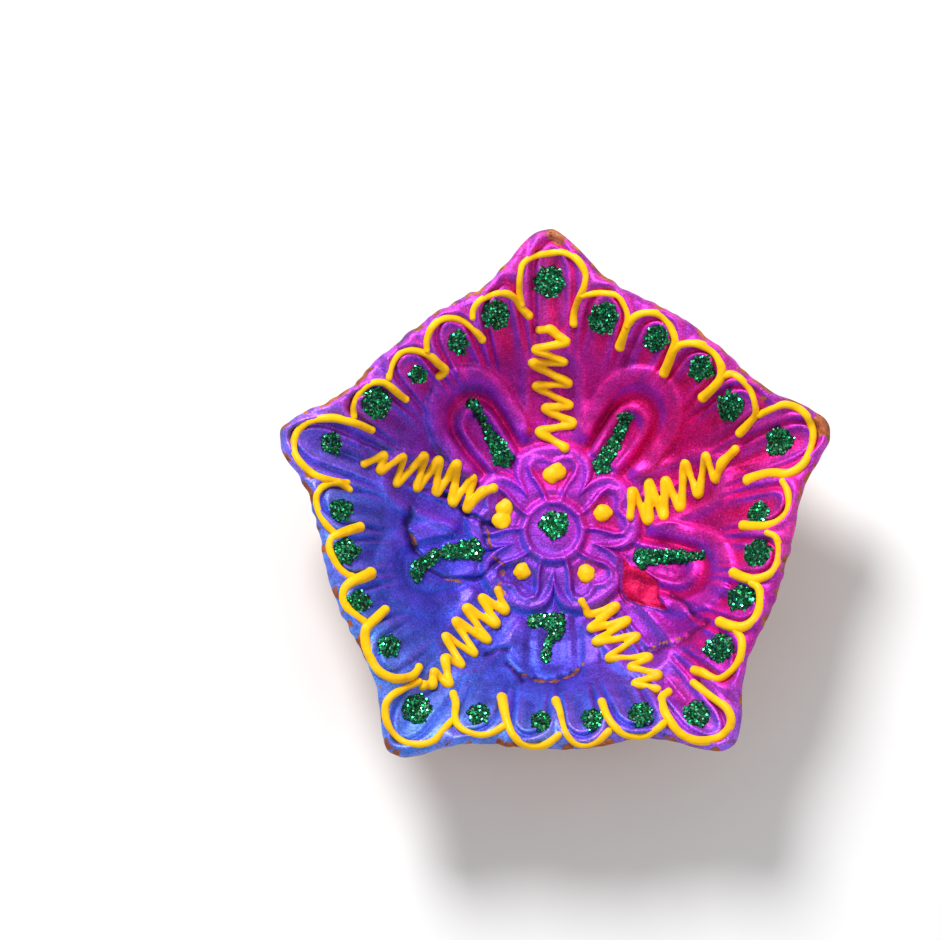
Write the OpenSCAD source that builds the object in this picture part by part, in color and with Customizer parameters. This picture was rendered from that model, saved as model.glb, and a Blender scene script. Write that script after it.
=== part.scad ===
// Hand-painted terracotta diya: a small pressed dish with five pulled corners for five wicks.
// The origin is on the flower's axis at the flat base, +Z is up and +Y points to the first corner.
// Directions are in degrees clockwise from +Y, seen from above. Lengths are in millimetres.

/* [Dish] */
// Radius of the rim between the corners
rim_r = 26.7; // [24:0.1:30]
// Radius of the tip of each pulled corner
tip_r = 32.6; // [29:0.1:35]
// Half-angle that a pulled corner takes up
tip_half_angle = 8.9; // [7:0.1:11]
// How far the pulled corners are turned from the pressed pattern
corner_turn = -1.3; // [-2:0.1:2]
// Height of the rim's crest
crest_z = 17; // [15:0.5:20]
// Height of the bowl's floor
floor_z = 5; // [3:0.5:6]
// Radius of the flat base
base_r = 14.6; // [12:0.1:17]
// How far the lip sinks at each corner, where a wick lies
spout_depth = 0.9; // [0:0.1:1.5]

/* [Pressed pattern] */
// Depth of a scallop niche
niche_depth = 0.6; // [0:0.1:1]
// Height of the ring and dome at the flower's centre
boss_height = 0.7; // [0:0.1:1]
// Height of the flower's petals
petal_height = 0.6; // [0:0.1:1]

/* [Applied paint] */
// Radius of a zigzag's bead
zigzag_r = 0.45; // [0.4:0.01:0.6]
// How far a bead's centre stands above the clay, as a share of its radius
bead_lift = 0.35; // [0.3:0.05:0.5]
// Thickness of a glitter dab, as a share of its radius
glitter_lift = 0.42; // [0.3:0.02:0.6]

/* [Hidden] */
CORNERS = 5;
CORNER_STEP = 360 / CORNERS;
NICHES = 25;
NICHES_PER_CORNER = NICHES / CORNERS;
// How sharply a pulled corner comes to its tip
TIP_SHARPNESS = 1.56;
// Half-angle of the groove at a corner, where it begins and how far it takes to reach its depth
SPOUT_HALF_ANGLE = 7;
SPOUT_START = 19;
SPOUT_RUN = 5;
// Where the niches begin and end on a side, and how far they take to do so
NICHE_START = 18.5;
NICHE_START_RUN = 3;
NICHE_END = 24;
NICHE_END_RUN = 2.2;
// Radius of the top of the flower's middle, and the width of its slope
BOSS_R = 3.2;
BOSS_SLOPE = 1.2;
// Where the petals begin and end, and how far they take to do so
PETAL_START = 6;
PETAL_START_RUN = 3;
PETAL_END = 15;
PETAL_END_RUN = 5;

// Bowl profile on a side: [distance from the axis, share of the height from floor to crest]
BOWL = [
    [0, 0], [13, 0.03], [16, 0.15], [18, 0.33], [20, 0.56],
    [22, 0.79], [23.5, 0.91], [25.7, 1], [26.7, 0.94]
];
// Outside profile: [share of the way from the base's edge out to the rim, share of the crest's height]
WALL = [[0.97, 0.88], [0.80, 0.68], [0.46, 0.36], [0.14, 0.09], [0, 0]];
// Radii of the grid's inner rings; the outer ones are spread between these and the rim
FLOOR_RINGS = [2.2, 3.3, 4.2, 6.2, 8.2, 10, 11.8, 14, 16];
RIM_RINGS = [0.2, 0.38, 0.55, 0.7, 0.82, 0.91, 1];
GRID_STEPS = 100;
// Outside this radius the rings change from round to the outline's shape
BEND_START = 15;

// Yellow arches, one over each niche, clockwise from the first corner:
// [bead radius, radius at the foot, the places [x, y] that it runs through from start to foot]
ARCHES = [
    [0.4, 0.5, [[-3.7, 24.8], [-4, 26.6], [-3.7, 28.9], [-2.5, 30], [-0.8, 30.5], [0.9, 30.6],
        [2.4, 29.8], [3.5, 28.1], [3.4, 26.6], [2.8, 25.3], [2.4, 24.2], [2.3, 22.9]]],
    [0.4, 0.55, [[3.2, 25.6], [4.5, 25.8], [5.9, 25.7], [7.2, 25.4], [8, 24.3], [8.4, 22.9], [8, 21.4],
        [7.5, 20.1]]],
    [0.4, 0.6, [[8.3, 22.1], [9.1, 23], [10.4, 23.4], [11.9, 23.2], [13.1, 22], [13.8, 20.4],
        [13.4, 19], [12.5, 17]]],
    [0.45, 0.6, [[13.5, 19.2], [14.3, 19.8], [15.6, 19.9], [16.9, 19.6], [18.2, 18.7], [18.9, 17.3],
        [18.8, 15.9], [17.9, 14.9], [16.9, 14.1]]],
    [0.4, 0.5, [[19.2, 16.3], [20.2, 16.4], [21.3, 15.6], [22.2, 14.5], [22.7, 13.1], [22.8, 12],
        [22.1, 11.1], [21.1, 10.1]]],
    [0.42, 0.65, [[23.2, 11.9], [24.5, 12.4], [26, 12.9], [27.4, 12.6], [28.6, 11.6], [29.3, 9.9],
        [29, 7.9], [28.1, 6.1], [26.5, 5.1], [24.5, 5.3], [23, 5.1], [22.1, 4.8]]],
    [0.42, 0.6, [[25.8, 4.2], [26.3, 3.3], [26.5, 2], [26.2, 0.6], [25.4, -0.3], [24.2, -0.8],
        [22.9, -0.8], [21.5, -0.5]]],
    [0.42, 0.58, [[24, -1.7], [24.9, -2.2], [25.3, -3.4], [25.2, -4.8], [24.7, -6], [23.8, -6.7],
        [22.5, -7], [21.4, -6.7], [20.3, -6]]],
    [0.5, 0.6, [[22.2, -7.4], [23, -8.1], [23.2, -9.5], [22.9, -10.9], [22.2, -11.9], [21.1, -12.5],
        [19.9, -12.3], [18.7, -11.7]]],
    [0.42, 0.5, [[20.4, -12.8], [21, -13.8], [21, -15.2], [20.6, -16.5], [19.6, -17.6], [18.5, -18.2],
        [17.5, -17.9], [16.7, -17.4], [15.8, -17]]],
    [0.48, 0.5, [[15.7, -18.4], [16.9, -19.5], [18.3, -20.6], [19.3, -21.6], [19.8, -22.8],
        [19.5, -24], [18.5, -24.8], [17, -25.3], [15.6, -25.2], [14.1, -24.5], [13, -23.2],
        [12.3, -21.9], [12.1, -20.3], [12.9, -19.4]]],
    [0.4, 0.5, [[12.3, -23.3], [11.5, -24], [10.3, -24.7], [8.8, -24.8], [7.5, -24.5], [6.3, -23.3],
        [5.7, -22.1], [5.3, -20.7]]],
    [0.42, 0.5, [[6, -24.3], [4.9, -25.3], [3.5, -25.8], [2.2, -25.6], [1.3, -24.7], [0.8, -23.3],
        [0.5, -21.8], [0.1, -20.5]]],
    [0.42, 0.6, [[0.4, -24.7], [-0.8, -25.6], [-2.1, -25.9], [-3.6, -25.7], [-4.7, -24.8],
        [-5.4, -23.3], [-5.7, -21.8], [-6, -20.1]]],
    [0.4, 0.5, [[-5.8, -23.7], [-7, -24.4], [-8.3, -24.7], [-9.8, -24.4], [-10.9, -23.6],
        [-11.3, -22.5], [-11.2, -20.9], [-11.5, -19.6]]],
    [0.4, 0.42, [[-11.7, -23], [-12.7, -24.2], [-13.7, -25.3], [-15.1, -25.7], [-16.8, -25.5],
        [-18.2, -24.5], [-19, -23], [-19.1, -21.4], [-18.5, -20.3], [-17.1, -19.3], [-15.4, -18.3]]],
    [0.52, 0.55, [[-15.4, -16.7], [-16.1, -17.7], [-17.3, -18.2], [-18.5, -18.2], [-19.8, -17.5],
        [-20.7, -16.2], [-21.3, -14.6], [-21.4, -13], [-20.9, -12.1], [-20, -11.1], [-19.2, -10.2]]],
    [0.45, 0.75, [[-21.6, -11.8], [-22.5, -11.2], [-23.3, -10.5], [-23.8, -9.6], [-23.9, -8.7],
        [-23.6, -7.9], [-22.8, -7.2], [-21.8, -6.7], [-20.9, -6.1]]],
    [0.42, 0.58, [[-22.9, -6.7], [-23.6, -6.5], [-24.5, -5.7], [-25.2, -4.4], [-25.5, -3.3],
        [-25.2, -2.4], [-24.4, -1.9], [-23.3, -1.4], [-22.1, -0.8]]],
    [0.38, 0.45, [[-24.9, -1.8], [-25.9, -0.8], [-26.7, 0.6], [-27, 2.1], [-26.6, 3.2], [-25.6, 4],
        [-24.4, 4.2], [-23.3, 3.5]]],
    [0.42, 0.48, [[-23.5, 4.3], [-24.9, 4.3], [-26.6, 4.6], [-27.9, 5.4], [-29.1, 6.7], [-29.6, 8.1],
        [-29.3, 9.7], [-28.3, 10.8], [-26.8, 11.3], [-25, 11.4], [-23.4, 11.1], [-22.1, 10.8],
        [-20.8, 10.4]]],
    [0.4, 0.48, [[-22.8, 11.7], [-22.8, 12.7], [-22.4, 13.8], [-21.6, 14.8], [-20.5, 15.4],
        [-19.3, 15.4], [-18.3, 14.8], [-17.6, 14.3], [-16.9, 13.9]]],
    [0.42, 0.5, [[-18.8, 16], [-18.6, 17.1], [-18.1, 18.2], [-17.2, 19], [-16.1, 19.2], [-14.9, 19],
        [-14, 18.6], [-13.2, 17.9], [-12.4, 17.3], [-13.1, 16.7]]],
    [0.38, 0.5, [[-14.5, 19.2], [-14.5, 20.3], [-14, 21.6], [-13, 22.6], [-11.7, 22.9], [-10.5, 22.6],
        [-9.5, 22], [-8.7, 21.3], [-8.2, 20.7]]],
    [0.38, 0.5, [[-9.3, 22.9], [-9.2, 23.8], [-8.5, 24.8], [-7.2, 25.5], [-5.9, 25.8], [-4.7, 25.5],
        [-3.8, 24.5], [-2.9, 23.7]]]
];
ARCH_SIDES = 8;
// Share of an arch's length from which it thickens towards its foot
THICKEN_FROM = 0.5;
// A bead's blunt end: how far it reaches and how wide it still is, as shares of its radius
END_REACH = 0.7;
END_SHARE = 0.55;

// Yellow zigzags, one towards each corner: the places [x, y] where each one turns
ZIGZAGS = [
    [[-1.7, 22.3], [-0.4, 22.4], [1.4, 21], [-2.1, 20.2], [1.2, 19], [-2.4, 18.8], [1.7, 16.8],
     [-2, 16.5], [1.9, 14.5], [-0.9, 14.1], [2.3, 12.4], [-1.6, 11.5], [1.3, 9.6]],
    [[8.8, 1.6], [9.1, 4.5], [10.9, 1.2], [11, 5.6], [12.7, 1.5], [12.9, 5.7], [14.6, 2.5],
     [15.1, 7.5], [16.6, 3.9], [17.4, 8], [18.5, 5.3], [19.2, 7.1], [20.7, 8.5]],
    [[3.2, -8.2], [4.1, -9.7], [7.1, -8.8], [4.2, -11.4], [8.4, -10.5], [4.8, -13], [9.5, -12.4],
     [6.3, -15], [10.7, -15.1], [8.8, -16.3], [11.8, -17.3], [9.2, -18.4], [11.6, -19.1]],
    [[-6.4, -6.9], [-5.6, -9.2], [-8.2, -7.8], [-6.7, -10.8], [-10, -9.1], [-7.6, -12.8],
     [-11.2, -10.7], [-9.1, -14.5], [-12.4, -12.7], [-10.6, -16], [-12.4, -15.4], [-12, -18.4],
     [-13.7, -17.1], [-13.9, -18.5], [-15, -18.7]],
    [[-21.7, 6.8], [-19.5, 7.9], [-19.8, 6.2], [-17.3, 7.9], [-18, 5], [-14.9, 8.2], [-15.7, 4.7],
     [-13.2, 7.9], [-13.5, 4.3], [-11.1, 7.5], [-11.6, 3.3], [-9.3, 6.1], [-9.9, 2.6], [-8.2, 4.4],
     [-6.9, 4.9]]
];
BALL_SIDES = 6;

// Yellow dots on the flower's centre: [x, y, radius]
FLOWER_DOTS = [
    [[0.4, 7, 1], [-0.1, 6.6, 1.1]],
    [[5.7, 2.1, 1.1]],
    [[3.8, -4.9, 1.1]],
    [[-3.6, -4.7, 1.1]],
    [[-5.7, 2.7, 1.1], [-6, 1.2, 1.2]]
];
FLOWER_DOT_LIFT = 0.6;

// Green glitter dabs, one in each niche: [x, y, radius]
RIM_DABS = [
    [-0.5, 27.5, 1.8], [5.6, 23.2, 1.8], [11.6, 20.7, 1.5], [16.7, 17.2, 1.5], [20, 13, 1.6],
    [25.6, 9, 1.6], [23.2, 0.8, 1.3], [23, -3.9, 1.6], [21.1, -9, 1.6], [18.6, -14.7, 1.7],
    [16, -22.2, 1.6], [9.6, -22.3, 1.5], [4.2, -22.8, 1.4], [-1.7, -23.1, 1.3], [-8.6, -22.2, 1.4],
    [-15.6, -21.5, 1.8], [-18.7, -14.5, 1.4], [-22.2, -9.5, 1.4], [-23.7, -3.8, 1.6], [-24.2, 1, 1.4],
    [-25.4, 8.8, 1.3], [-20.3, 13.3, 1.8], [-15.5, 16.7, 1.1], [-11, 20.3, 1.3], [-6.7, 23.5, 1.7]
];
// Green glitter strokes, one on each big petal: [x, y, radius] from end to end
PETAL_STROKES = [
    [[8.2, 12.8, 1], [7.4, 10.9, 0.8], [6.4, 9.1, 0.9], [5.6, 7.6, 1.1]],
    [[10.2, -3.2, 1.2], [11.9, -3, 1], [13.5, -3.1, 0.9], [15.2, -3.3, 0.8], [17, -3.1, 0.5]],
    [[-2.2, -10.5, 0.9], [0.6, -10.5, 0.9], [0, -12.1, 0.8], [-0.7, -13.3, 0.6], [-0.9, -14.7, 0.7]],
    [[-9.2, -2.2, 1.3], [-11.2, -2.3, 1], [-13.4, -2.8, 0.8], [-15.5, -4.6, 1], [-15.7, -5.7, 0.7]],
    [[-9.3, 14.3, 0.8], [-8.2, 12.7, 0.6], [-7.1, 10.9, 0.8], [-5.8, 8.6, 1.3]]
];
CENTRE_DAB = [0.1, 0.7, 1.7];
DAB_SIDES = 10;
// How far a dab's middle stands above the clay, as a share of its radius
DAB_RAISE = 0.15;

function node_names(stem, count) = [for (i = [1:count]) str(stem, "_", i)];

SIDE_ARCHES = NICHES - CORNERS;

// ---- Clay surface ----

function at(angle, r) = [r * sin(angle), r * cos(angle)];
function bearing(x, y) = atan2(x, y);
function smooth_step(t) = let (s = min(max(t, 0), 1)) s * s * (3 - 2 * s);
function from_nearest(angle, step) = angle - step * round(angle / step);

function from_corner(angle) = from_nearest(angle - corner_turn, CORNER_STEP);

// Radius of the dish's outline in a direction
function outline_r(angle) =
    rim_r + (tip_r - rim_r) * exp(-pow(abs(from_corner(angle)) / tip_half_angle, TIP_SHARPNESS));

// Distance from the axis on a side that has the same place in the profile as this point
function side_r(angle, r) =
    let (edge = outline_r(angle))
    let (share = smooth_step((r - BEND_START) / (edge - BEND_START)))
    min(r - (edge - rim_r) * share, rim_r);

function bowl_share(u) = lookup(u * BOWL[len(BOWL) - 1][0] / rim_r, BOWL);

// A groove at each corner, fading out inwards
function spout_drop(angle, u) =
    spout_depth * exp(-pow(from_corner(angle) / SPOUT_HALF_ANGLE, 2))
    * smooth_step((u - SPOUT_START) / SPOUT_RUN);

// The scallop niches, deepest halfway up the rim's inner slope
function niche_drop(angle, u) =
    niche_depth * (0.5 + 0.5 * cos(NICHES * angle))
    * smooth_step((u - NICHE_START) / NICHE_START_RUN) * (1 - smooth_step((u - NICHE_END) / NICHE_END_RUN));

// The raised ring, its dome, and five petals that stand between the corners
function flower_rise(angle, r) =
    boss_height * (1 - smooth_step((r - BOSS_R) / BOSS_SLOPE))
    + petal_height * (0.5 - 0.5 * cos(CORNERS * angle))
      * smooth_step((r - PETAL_START) / PETAL_START_RUN) * (1 - smooth_step((r - PETAL_END) / PETAL_END_RUN));

function clay_z(angle, r) =
    let (u = side_r(angle, r))
    floor_z + (crest_z - floor_z) * bowl_share(u)
    - spout_drop(angle, u) - niche_drop(angle, u) + flower_rise(angle, r);

function clay_z_at(x, y) = clay_z(bearing(x, y), norm([x, y]));

// ---- Clay body ----

function inner_ring(angle, i) =
    let (count = len(FLOOR_RINGS))
    let (last = FLOOR_RINGS[count - 1])
    let (r = i < count ? FLOOR_RINGS[i] : last + (outline_r(angle) - last) * RIM_RINGS[i - count])
    concat(at(angle, r), [clay_z(angle, r)]);

function wall_ring(angle, i) =
    concat(at(angle, base_r + (outline_r(angle) - base_r) * WALL[i][0]), [crest_z * WALL[i][1]]);

module clay_solid() {
    inner = len(FLOOR_RINGS) + len(RIM_RINGS);
    rings = inner + len(WALL);
    centre = rings * GRID_STEPS;
    function id(ring, step) = ring * GRID_STEPS + step % GRID_STEPS;
    points = concat(
        [for (ring = [0:rings - 1], step = [0:GRID_STEPS - 1])
            let (angle = 360 * step / GRID_STEPS)
            ring < inner ? inner_ring(angle, ring) : wall_ring(angle, ring - inner)],
        [[0, 0, clay_z(0, 0)], [0, 0, 0]]
    );
    faces = concat(
        [for (step = [0:GRID_STEPS - 1]) [centre, id(0, step), id(0, step + 1)]],
        [for (ring = [0:rings - 2], step = [0:GRID_STEPS - 1])
            [id(ring, step), id(ring + 1, step), id(ring + 1, step + 1)]],
        [for (ring = [0:rings - 2], step = [0:GRID_STEPS - 1])
            [id(ring, step), id(ring + 1, step + 1), id(ring, step + 1)]],
        [for (step = [0:GRID_STEPS - 1]) [id(rings - 1, step), centre + 1, id(rings - 1, step + 1)]]
    );
    polyhedron(points, faces);
}

module clay_body() {
    color("mediumvioletred") clay_solid();
}

// ---- Paint beads ----

// Cuts what is applied to the clay down to the part above it, as one mesh
module on_clay() {
    resize([0, 0, 0]) difference() {
        children(0);
        clay_solid();
        if ($children > 1) children([1:$children - 1]);
    }
}

function unit(v) = v / norm(v);

// One ring of a bead round a point: [x, y, z, radius]
function bead_ring(point, ahead, sides) =
    let (right = unit(cross(ahead, [0, 0, 1])))
    let (up = cross(right, ahead))
    [for (i = [0:sides - 1])
        let (turn = 360 * i / sides)
        [point[0], point[1], point[2]] + point[3] * (cos(turn) * right - sin(turn) * up)];

// A bead of paint swept along points that are [x, y, z, radius], with blunt rounded ends
module bead(points, sides) {
    last = len(points) - 1;
    function place(i) = [points[i][0], points[i][1], points[i][2]];
    function ahead(i) = unit(place(min(i + 1, last)) - place(max(i - 1, 0)));
    function end_point(i, out) =
        concat(place(i) + out * points[i][3] * END_REACH, [points[i][3] * END_SHARE]);
    rings = concat(
        [bead_ring(end_point(0, -ahead(0)), ahead(0), sides)],
        [for (i = [0:last]) bead_ring(points[i], ahead(i), sides)],
        [bead_ring(end_point(last, ahead(last)), ahead(last), sides)]
    );
    count = len(rings);
    function id(ring, i) = ring * sides + i % sides;
    faces = concat(
        [[for (i = [0:sides - 1]) id(0, i)]],
        [for (ring = [0:count - 2], i = [0:sides - 1]) [id(ring, i), id(ring + 1, i), id(ring + 1, i + 1)]],
        [for (ring = [0:count - 2], i = [0:sides - 1]) [id(ring, i), id(ring + 1, i + 1), id(ring, i + 1)]],
        [[for (i = [sides - 1:-1:0]) id(count - 1, i)]]
    );
    polyhedron([for (ring = rings) each ring], faces);
}

// A place on the clay for the centre of a bead of this radius
function on_surface(xy, r, lift) = [xy[0], xy[1], clay_z_at(xy[0], xy[1]) + lift * r, r];

module paint_ball(point) {
    translate([point[0], point[1], point[2]]) sphere(r = point[3], $fn = BALL_SIDES);
}

// The arch's bead, thicker towards its foot
function arch_points(arch) =
    let (last = len(arch[2]) - 1)
    [for (i = [0:last])
        let (thick = smooth_step((i / last - THICKEN_FROM) / (1 - THICKEN_FROM)))
        on_surface(arch[2][i], arch[0] + (arch[1] - arch[0]) * thick, bead_lift)];

module raw_arch(i) {
    bead(arch_points(ARCHES[(i + NICHES) % NICHES]), ARCH_SIDES);
}

// Each arch lies over the end of the one before it
module rim_arch(i) {
    color("gold") on_clay() {
        raw_arch(i);
        raw_arch(i - 1);
    }
}

module corner_arch(k) {
    rim_arch((k - 1) * NICHES_PER_CORNER);
}

module side_arch(k) {
    side = floor((k - 1) / (NICHES_PER_CORNER - 1));
    rim_arch(k + side);
}

module zigzag(k) {
    turns = [for (turn = ZIGZAGS[k - 1]) on_surface(turn, zigzag_r, bead_lift)];
    color("gold") on_clay() {
        for (i = [0:len(turns) - 2]) {
            hull() {
                paint_ball(turns[i]);
                paint_ball(turns[i + 1]);
            }
        }
    }
}

// A low dome of paint or glitter, its middle a little above the clay
module dab(x, y, r, lift) {
    translate([x, y, clay_z_at(x, y) + DAB_RAISE * r]) scale([1, 1, lift]) sphere(r = r, $fn = DAB_SIDES);
}

module flower_dot(k) {
    color("gold") on_clay() {
        for (dot = FLOWER_DOTS[k - 1]) {
            dab(dot[0], dot[1], dot[2], FLOWER_DOT_LIFT);
        }
    }
}

// ---- Glitter ----

module rim_dab(i) {
    dab(RIM_DABS[i][0], RIM_DABS[i][1], RIM_DABS[i][2], glitter_lift);
}

module corner_glitter(k) {
    i = (k - 1) * NICHES_PER_CORNER;
    color("darkgreen") on_clay() {
        rim_dab(i);
        raw_arch(i);
        raw_arch(i + 1);
    }
}

// The dabs in the niches between two corners
module side_glitter(k) {
    first = (k - 1) * NICHES_PER_CORNER + 1;
    last = first + NICHES_PER_CORNER - 2;
    color("darkgreen") on_clay() {
        union() {
            for (i = [first:last]) {
                rim_dab(i);
            }
        }
        union() {
            for (i = [first - 1:last + 1]) {
                raw_arch(i);
            }
        }
    }
}

module petal_glitter(k) {
    stroke = PETAL_STROKES[k - 1];
    color("darkgreen") on_clay() {
        for (i = [0:len(stroke) - 2]) {
            hull() {
                dab(stroke[i][0], stroke[i][1], stroke[i][2], glitter_lift);
                dab(stroke[i + 1][0], stroke[i + 1][1], stroke[i + 1][2], glitter_lift);
            }
        }
    }
}

module centre_glitter() {
    color("darkgreen") on_clay() dab(CENTRE_DAB[0], CENTRE_DAB[1], CENTRE_DAB[2], glitter_lift);
}

clay_body();
for (k = [1:CORNERS]) {
    corner_arch(k);
    zigzag(k);
    flower_dot(k);
    corner_glitter(k);
    side_glitter(k);
    petal_glitter(k);
}
for (k = [1:SIDE_ARCHES]) {
    side_arch(k);
}
centre_glitter();
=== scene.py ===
"""A hand-painted terracotta diya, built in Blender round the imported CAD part.

Lengths are in millimetres until a mesh is made. Directions are in degrees clockwise from +Y,
seen from above.
"""
import math

import bmesh
import bpy
import numpy as np
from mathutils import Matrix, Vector


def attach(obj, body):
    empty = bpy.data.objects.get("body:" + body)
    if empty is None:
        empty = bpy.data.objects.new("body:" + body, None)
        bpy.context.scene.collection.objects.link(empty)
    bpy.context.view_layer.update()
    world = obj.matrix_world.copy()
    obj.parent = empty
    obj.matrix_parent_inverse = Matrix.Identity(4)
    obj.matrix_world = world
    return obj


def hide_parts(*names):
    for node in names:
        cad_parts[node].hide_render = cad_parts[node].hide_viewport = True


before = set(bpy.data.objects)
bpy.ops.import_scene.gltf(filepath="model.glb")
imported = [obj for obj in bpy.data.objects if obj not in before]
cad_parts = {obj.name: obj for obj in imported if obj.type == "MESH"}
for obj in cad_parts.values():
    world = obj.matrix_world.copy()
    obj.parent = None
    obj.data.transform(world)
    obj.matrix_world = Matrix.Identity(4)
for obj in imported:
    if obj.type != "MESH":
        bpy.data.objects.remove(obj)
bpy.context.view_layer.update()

MM = 0.001

# ---- The dish's driving dimensions ----

CREST_Z = 17.0
FLOOR_Z = 5.0
RIM_R = 26.7
BASE_R = 14.6
BEND_START = 15.0
TIP_POWER = 1.56
# Each pulled corner: direction, radius of its tip, half-angle it takes up
CORNERS = [
    (-1.5, 32.9, 9.2), (70.8, 32.6, 9.0), (142.3, 33.0, 8.8), (214.4, 32.7, 8.7), (287.8, 32.7, 8.8),
]
# The rim isn't quite centred on the flower: how far it is off, and in which direction
RIM_SHIFT = 0.5
RIM_SHIFT_DIRECTION = 20
CORNER_STEP = 72.0
NICHE_STEP = 14.4
# Distance from the axis on a side, and the share of the height from the floor to the crest
BOWL_R = [0, 10, 13, 16, 18, 20, 22, 23.5, 25.0, 25.8, 26.3, 26.7]
BOWL_SHARE = [0, 0.01, 0.03, 0.15, 0.33, 0.56, 0.79, 0.91, 0.985, 1.0, 0.985, 0.93]
# The outside, from the lip down: share of the way from the base's edge out to the rim, and height
WALL_SHARE = [1.0, 1.004, 0.995, 0.97, 0.91, 0.80, 0.63, 0.46, 0.29, 0.14, 0.05, 0.0, -0.05]
WALL_Z = [16.15, 15.7, 15.2, 14.6, 13.4, 11.5, 8.9, 6.2, 3.6, 1.6, 0.6, 0.16, 0.0]


# ---- Small helpers ----

# The noise repeats after this many features, so a scale of 360 degrees over it has no seam
NOISE_CELLS = 256


def smooth_step(t):
    s = np.clip(t, 0.0, 1.0)
    return s * s * (3 - 2 * s)


def ridge(distance, width):
    return np.exp(-(distance / width) ** 2)


def wrap(angle, step):
    """Angle from the nearest multiple of step."""
    return angle - step * np.round(angle / step)


def bearing(x, y):
    """Direction of each place from the axis."""
    return np.degrees(np.arctan2(x, y))


def place_at(direction, reach):
    turn = math.radians(direction)
    return reach * math.sin(turn), reach * math.cos(turn)


def along_and_across(angle, r, step):
    """How far a place is out along the nearest multiple of step, and to its right."""
    off = np.radians(wrap(angle, step))
    return r * np.cos(off), r * np.sin(off)


def value_noise(x, y, scale, seed):
    """Smooth noise from -1 to 1 with features about scale across."""
    table = np.random.default_rng(seed).uniform(-1, 1, (NOISE_CELLS, NOISE_CELLS))
    gx, gy = x / scale + NOISE_CELLS / 2, y / scale + NOISE_CELLS / 2
    ix, iy = np.floor(gx).astype(int), np.floor(gy).astype(int)
    fx, fy = gx - ix, gy - iy
    fx, fy = fx * fx * (3 - 2 * fx), fy * fy * (3 - 2 * fy)
    x0, x1 = ix % NOISE_CELLS, (ix + 1) % NOISE_CELLS
    y0, y1 = iy % NOISE_CELLS, (iy + 1) % NOISE_CELLS
    low = table[x0, y0] * (1 - fx) + table[x1, y0] * fx
    high = table[x0, y1] * (1 - fx) + table[x1, y1] * fx
    return low * (1 - fy) + high * fy


def layered_noise(x, y, scale, seed, layers=3):
    total = np.zeros_like(x)
    for i in range(layers):
        total += value_noise(x, y, scale / 2 ** i, seed + i) / 2 ** i
    return total / 1.6


def distance_to_path(x, y, points):
    """Distance from each place to a path of straight stretches."""
    best = np.full(np.shape(x), 1e9)
    for (ax, ay), (bx, by) in zip(points, points[1:]):
        dx, dy = bx - ax, by - ay
        t = np.clip(((x - ax) * dx + (y - ay) * dy) / (dx * dx + dy * dy), 0, 1)
        best = np.minimum(best, np.hypot(x - ax - t * dx, y - ay - t * dy))
    return best


def inside_polygon(x, y, points):
    within = np.zeros(np.shape(x), bool)
    for (ax, ay), (bx, by) in zip(points, points[1:]):
        crosses = (ay > y) != (by > y)
        within ^= crosses & (x < (bx - ax) * (y - ay) / (by - ay + 1e-12) + ax)
    return within


def linear(srgb):
    """Linear colour from 0-255 screen values."""
    c = np.asarray(srgb, float) / 255
    return np.where(c <= 0.04045, c / 12.92, ((c + 0.055) / 1.055) ** 2.4)


# ---- The dish's shape ----

# Radius of the circle on which the rim's unevenness is read
RIM_NOISE_R = 26


def rim_wrinkle(angle):
    """How wrinkled the rim is in a direction: most at the back left."""
    return 0.40 + 0.60 * ridge(wrap(angle + 35, 360), 65)


def outline_r(angle):
    """Radius of the rim in a direction."""
    reach = RIM_R + RIM_SHIFT * np.cos(np.radians(angle - RIM_SHIFT_DIRECTION))
    for direction, tip_r, half_angle in CORNERS:
        off = wrap(angle - direction, 360)
        off = np.sqrt(off ** 2 + 1.0) - 1.0
        reach = reach + (tip_r - RIM_R) * np.exp(-(off / half_angle) ** TIP_POWER)
    x, y = RIM_NOISE_R * np.sin(np.radians(angle)), RIM_NOISE_R * np.cos(np.radians(angle))
    fine = 0.10 * value_noise(x, y, 1.7, 12) + 0.28 * rim_wrinkle(angle) * value_noise(x, y, 0.9, 13)
    return reach + 0.22 * value_noise(x, y, 6.0, 11) + fine


def side_r(r, edge):
    """Distance from the axis on a side that has the same place in the bowl's profile."""
    share = smooth_step((r - BEND_START) / (edge - BEND_START))
    return np.minimum(r - (edge - RIM_R) * share, RIM_R)


def bowl_table():
    """The bowl's profile, smoothed."""
    u = np.arange(0, RIM_R + 0.05, 0.05)
    share = np.interp(u, BOWL_R, BOWL_SHARE)
    window = np.hanning(21)
    padded = np.pad(share, 10, mode="edge")
    soft = np.convolve(padded, window / window.sum(), mode="valid")
    near_edge = smooth_step((u - 26.0) / 0.7)
    return u, soft * (1 - near_edge) + share * near_edge


PROFILE_U, PROFILE_SHARE = bowl_table()

# How well each petal between two corners came out of the mould, clockwise from the first corner
PETAL_STRENGTH = [1.3, 0.95, 0.32, 0.5, 1.3]
# Half of a heart's outline and of a corner's V: how far out, how far to the side
HEART = [(3.7, 0.9), (5.2, 1.5), (6.5, 2.5), (7.5, 2.75), (8.3, 2.1), (8.4, 1.1), (7.9, 0.0)]
CORNER_V = [(24.2, 2.6), (21.6, 0.0), (25.2, 0.0)]


def rosette(angle, r):
    """The flower's lobed border."""
    off = np.abs(wrap(angle, CORNER_STEP)) / (CORNER_STEP / 2)
    reach = 6.4 + 3.6 * np.clip(1 - off ** 3.6, 0, 1) ** 0.57
    slope = 3.6 * 2.0 * off ** 2.6 / np.clip(r * 0.63, 1, None)
    distance = (r - reach) / np.sqrt(1 + slope ** 2)
    lip = 0.60 * ridge(distance + 0.55, 0.70) - 0.30 * ridge(distance - 0.45, 0.40)
    return lip * smooth_step((r - 4.4) / 1.5)


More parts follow.
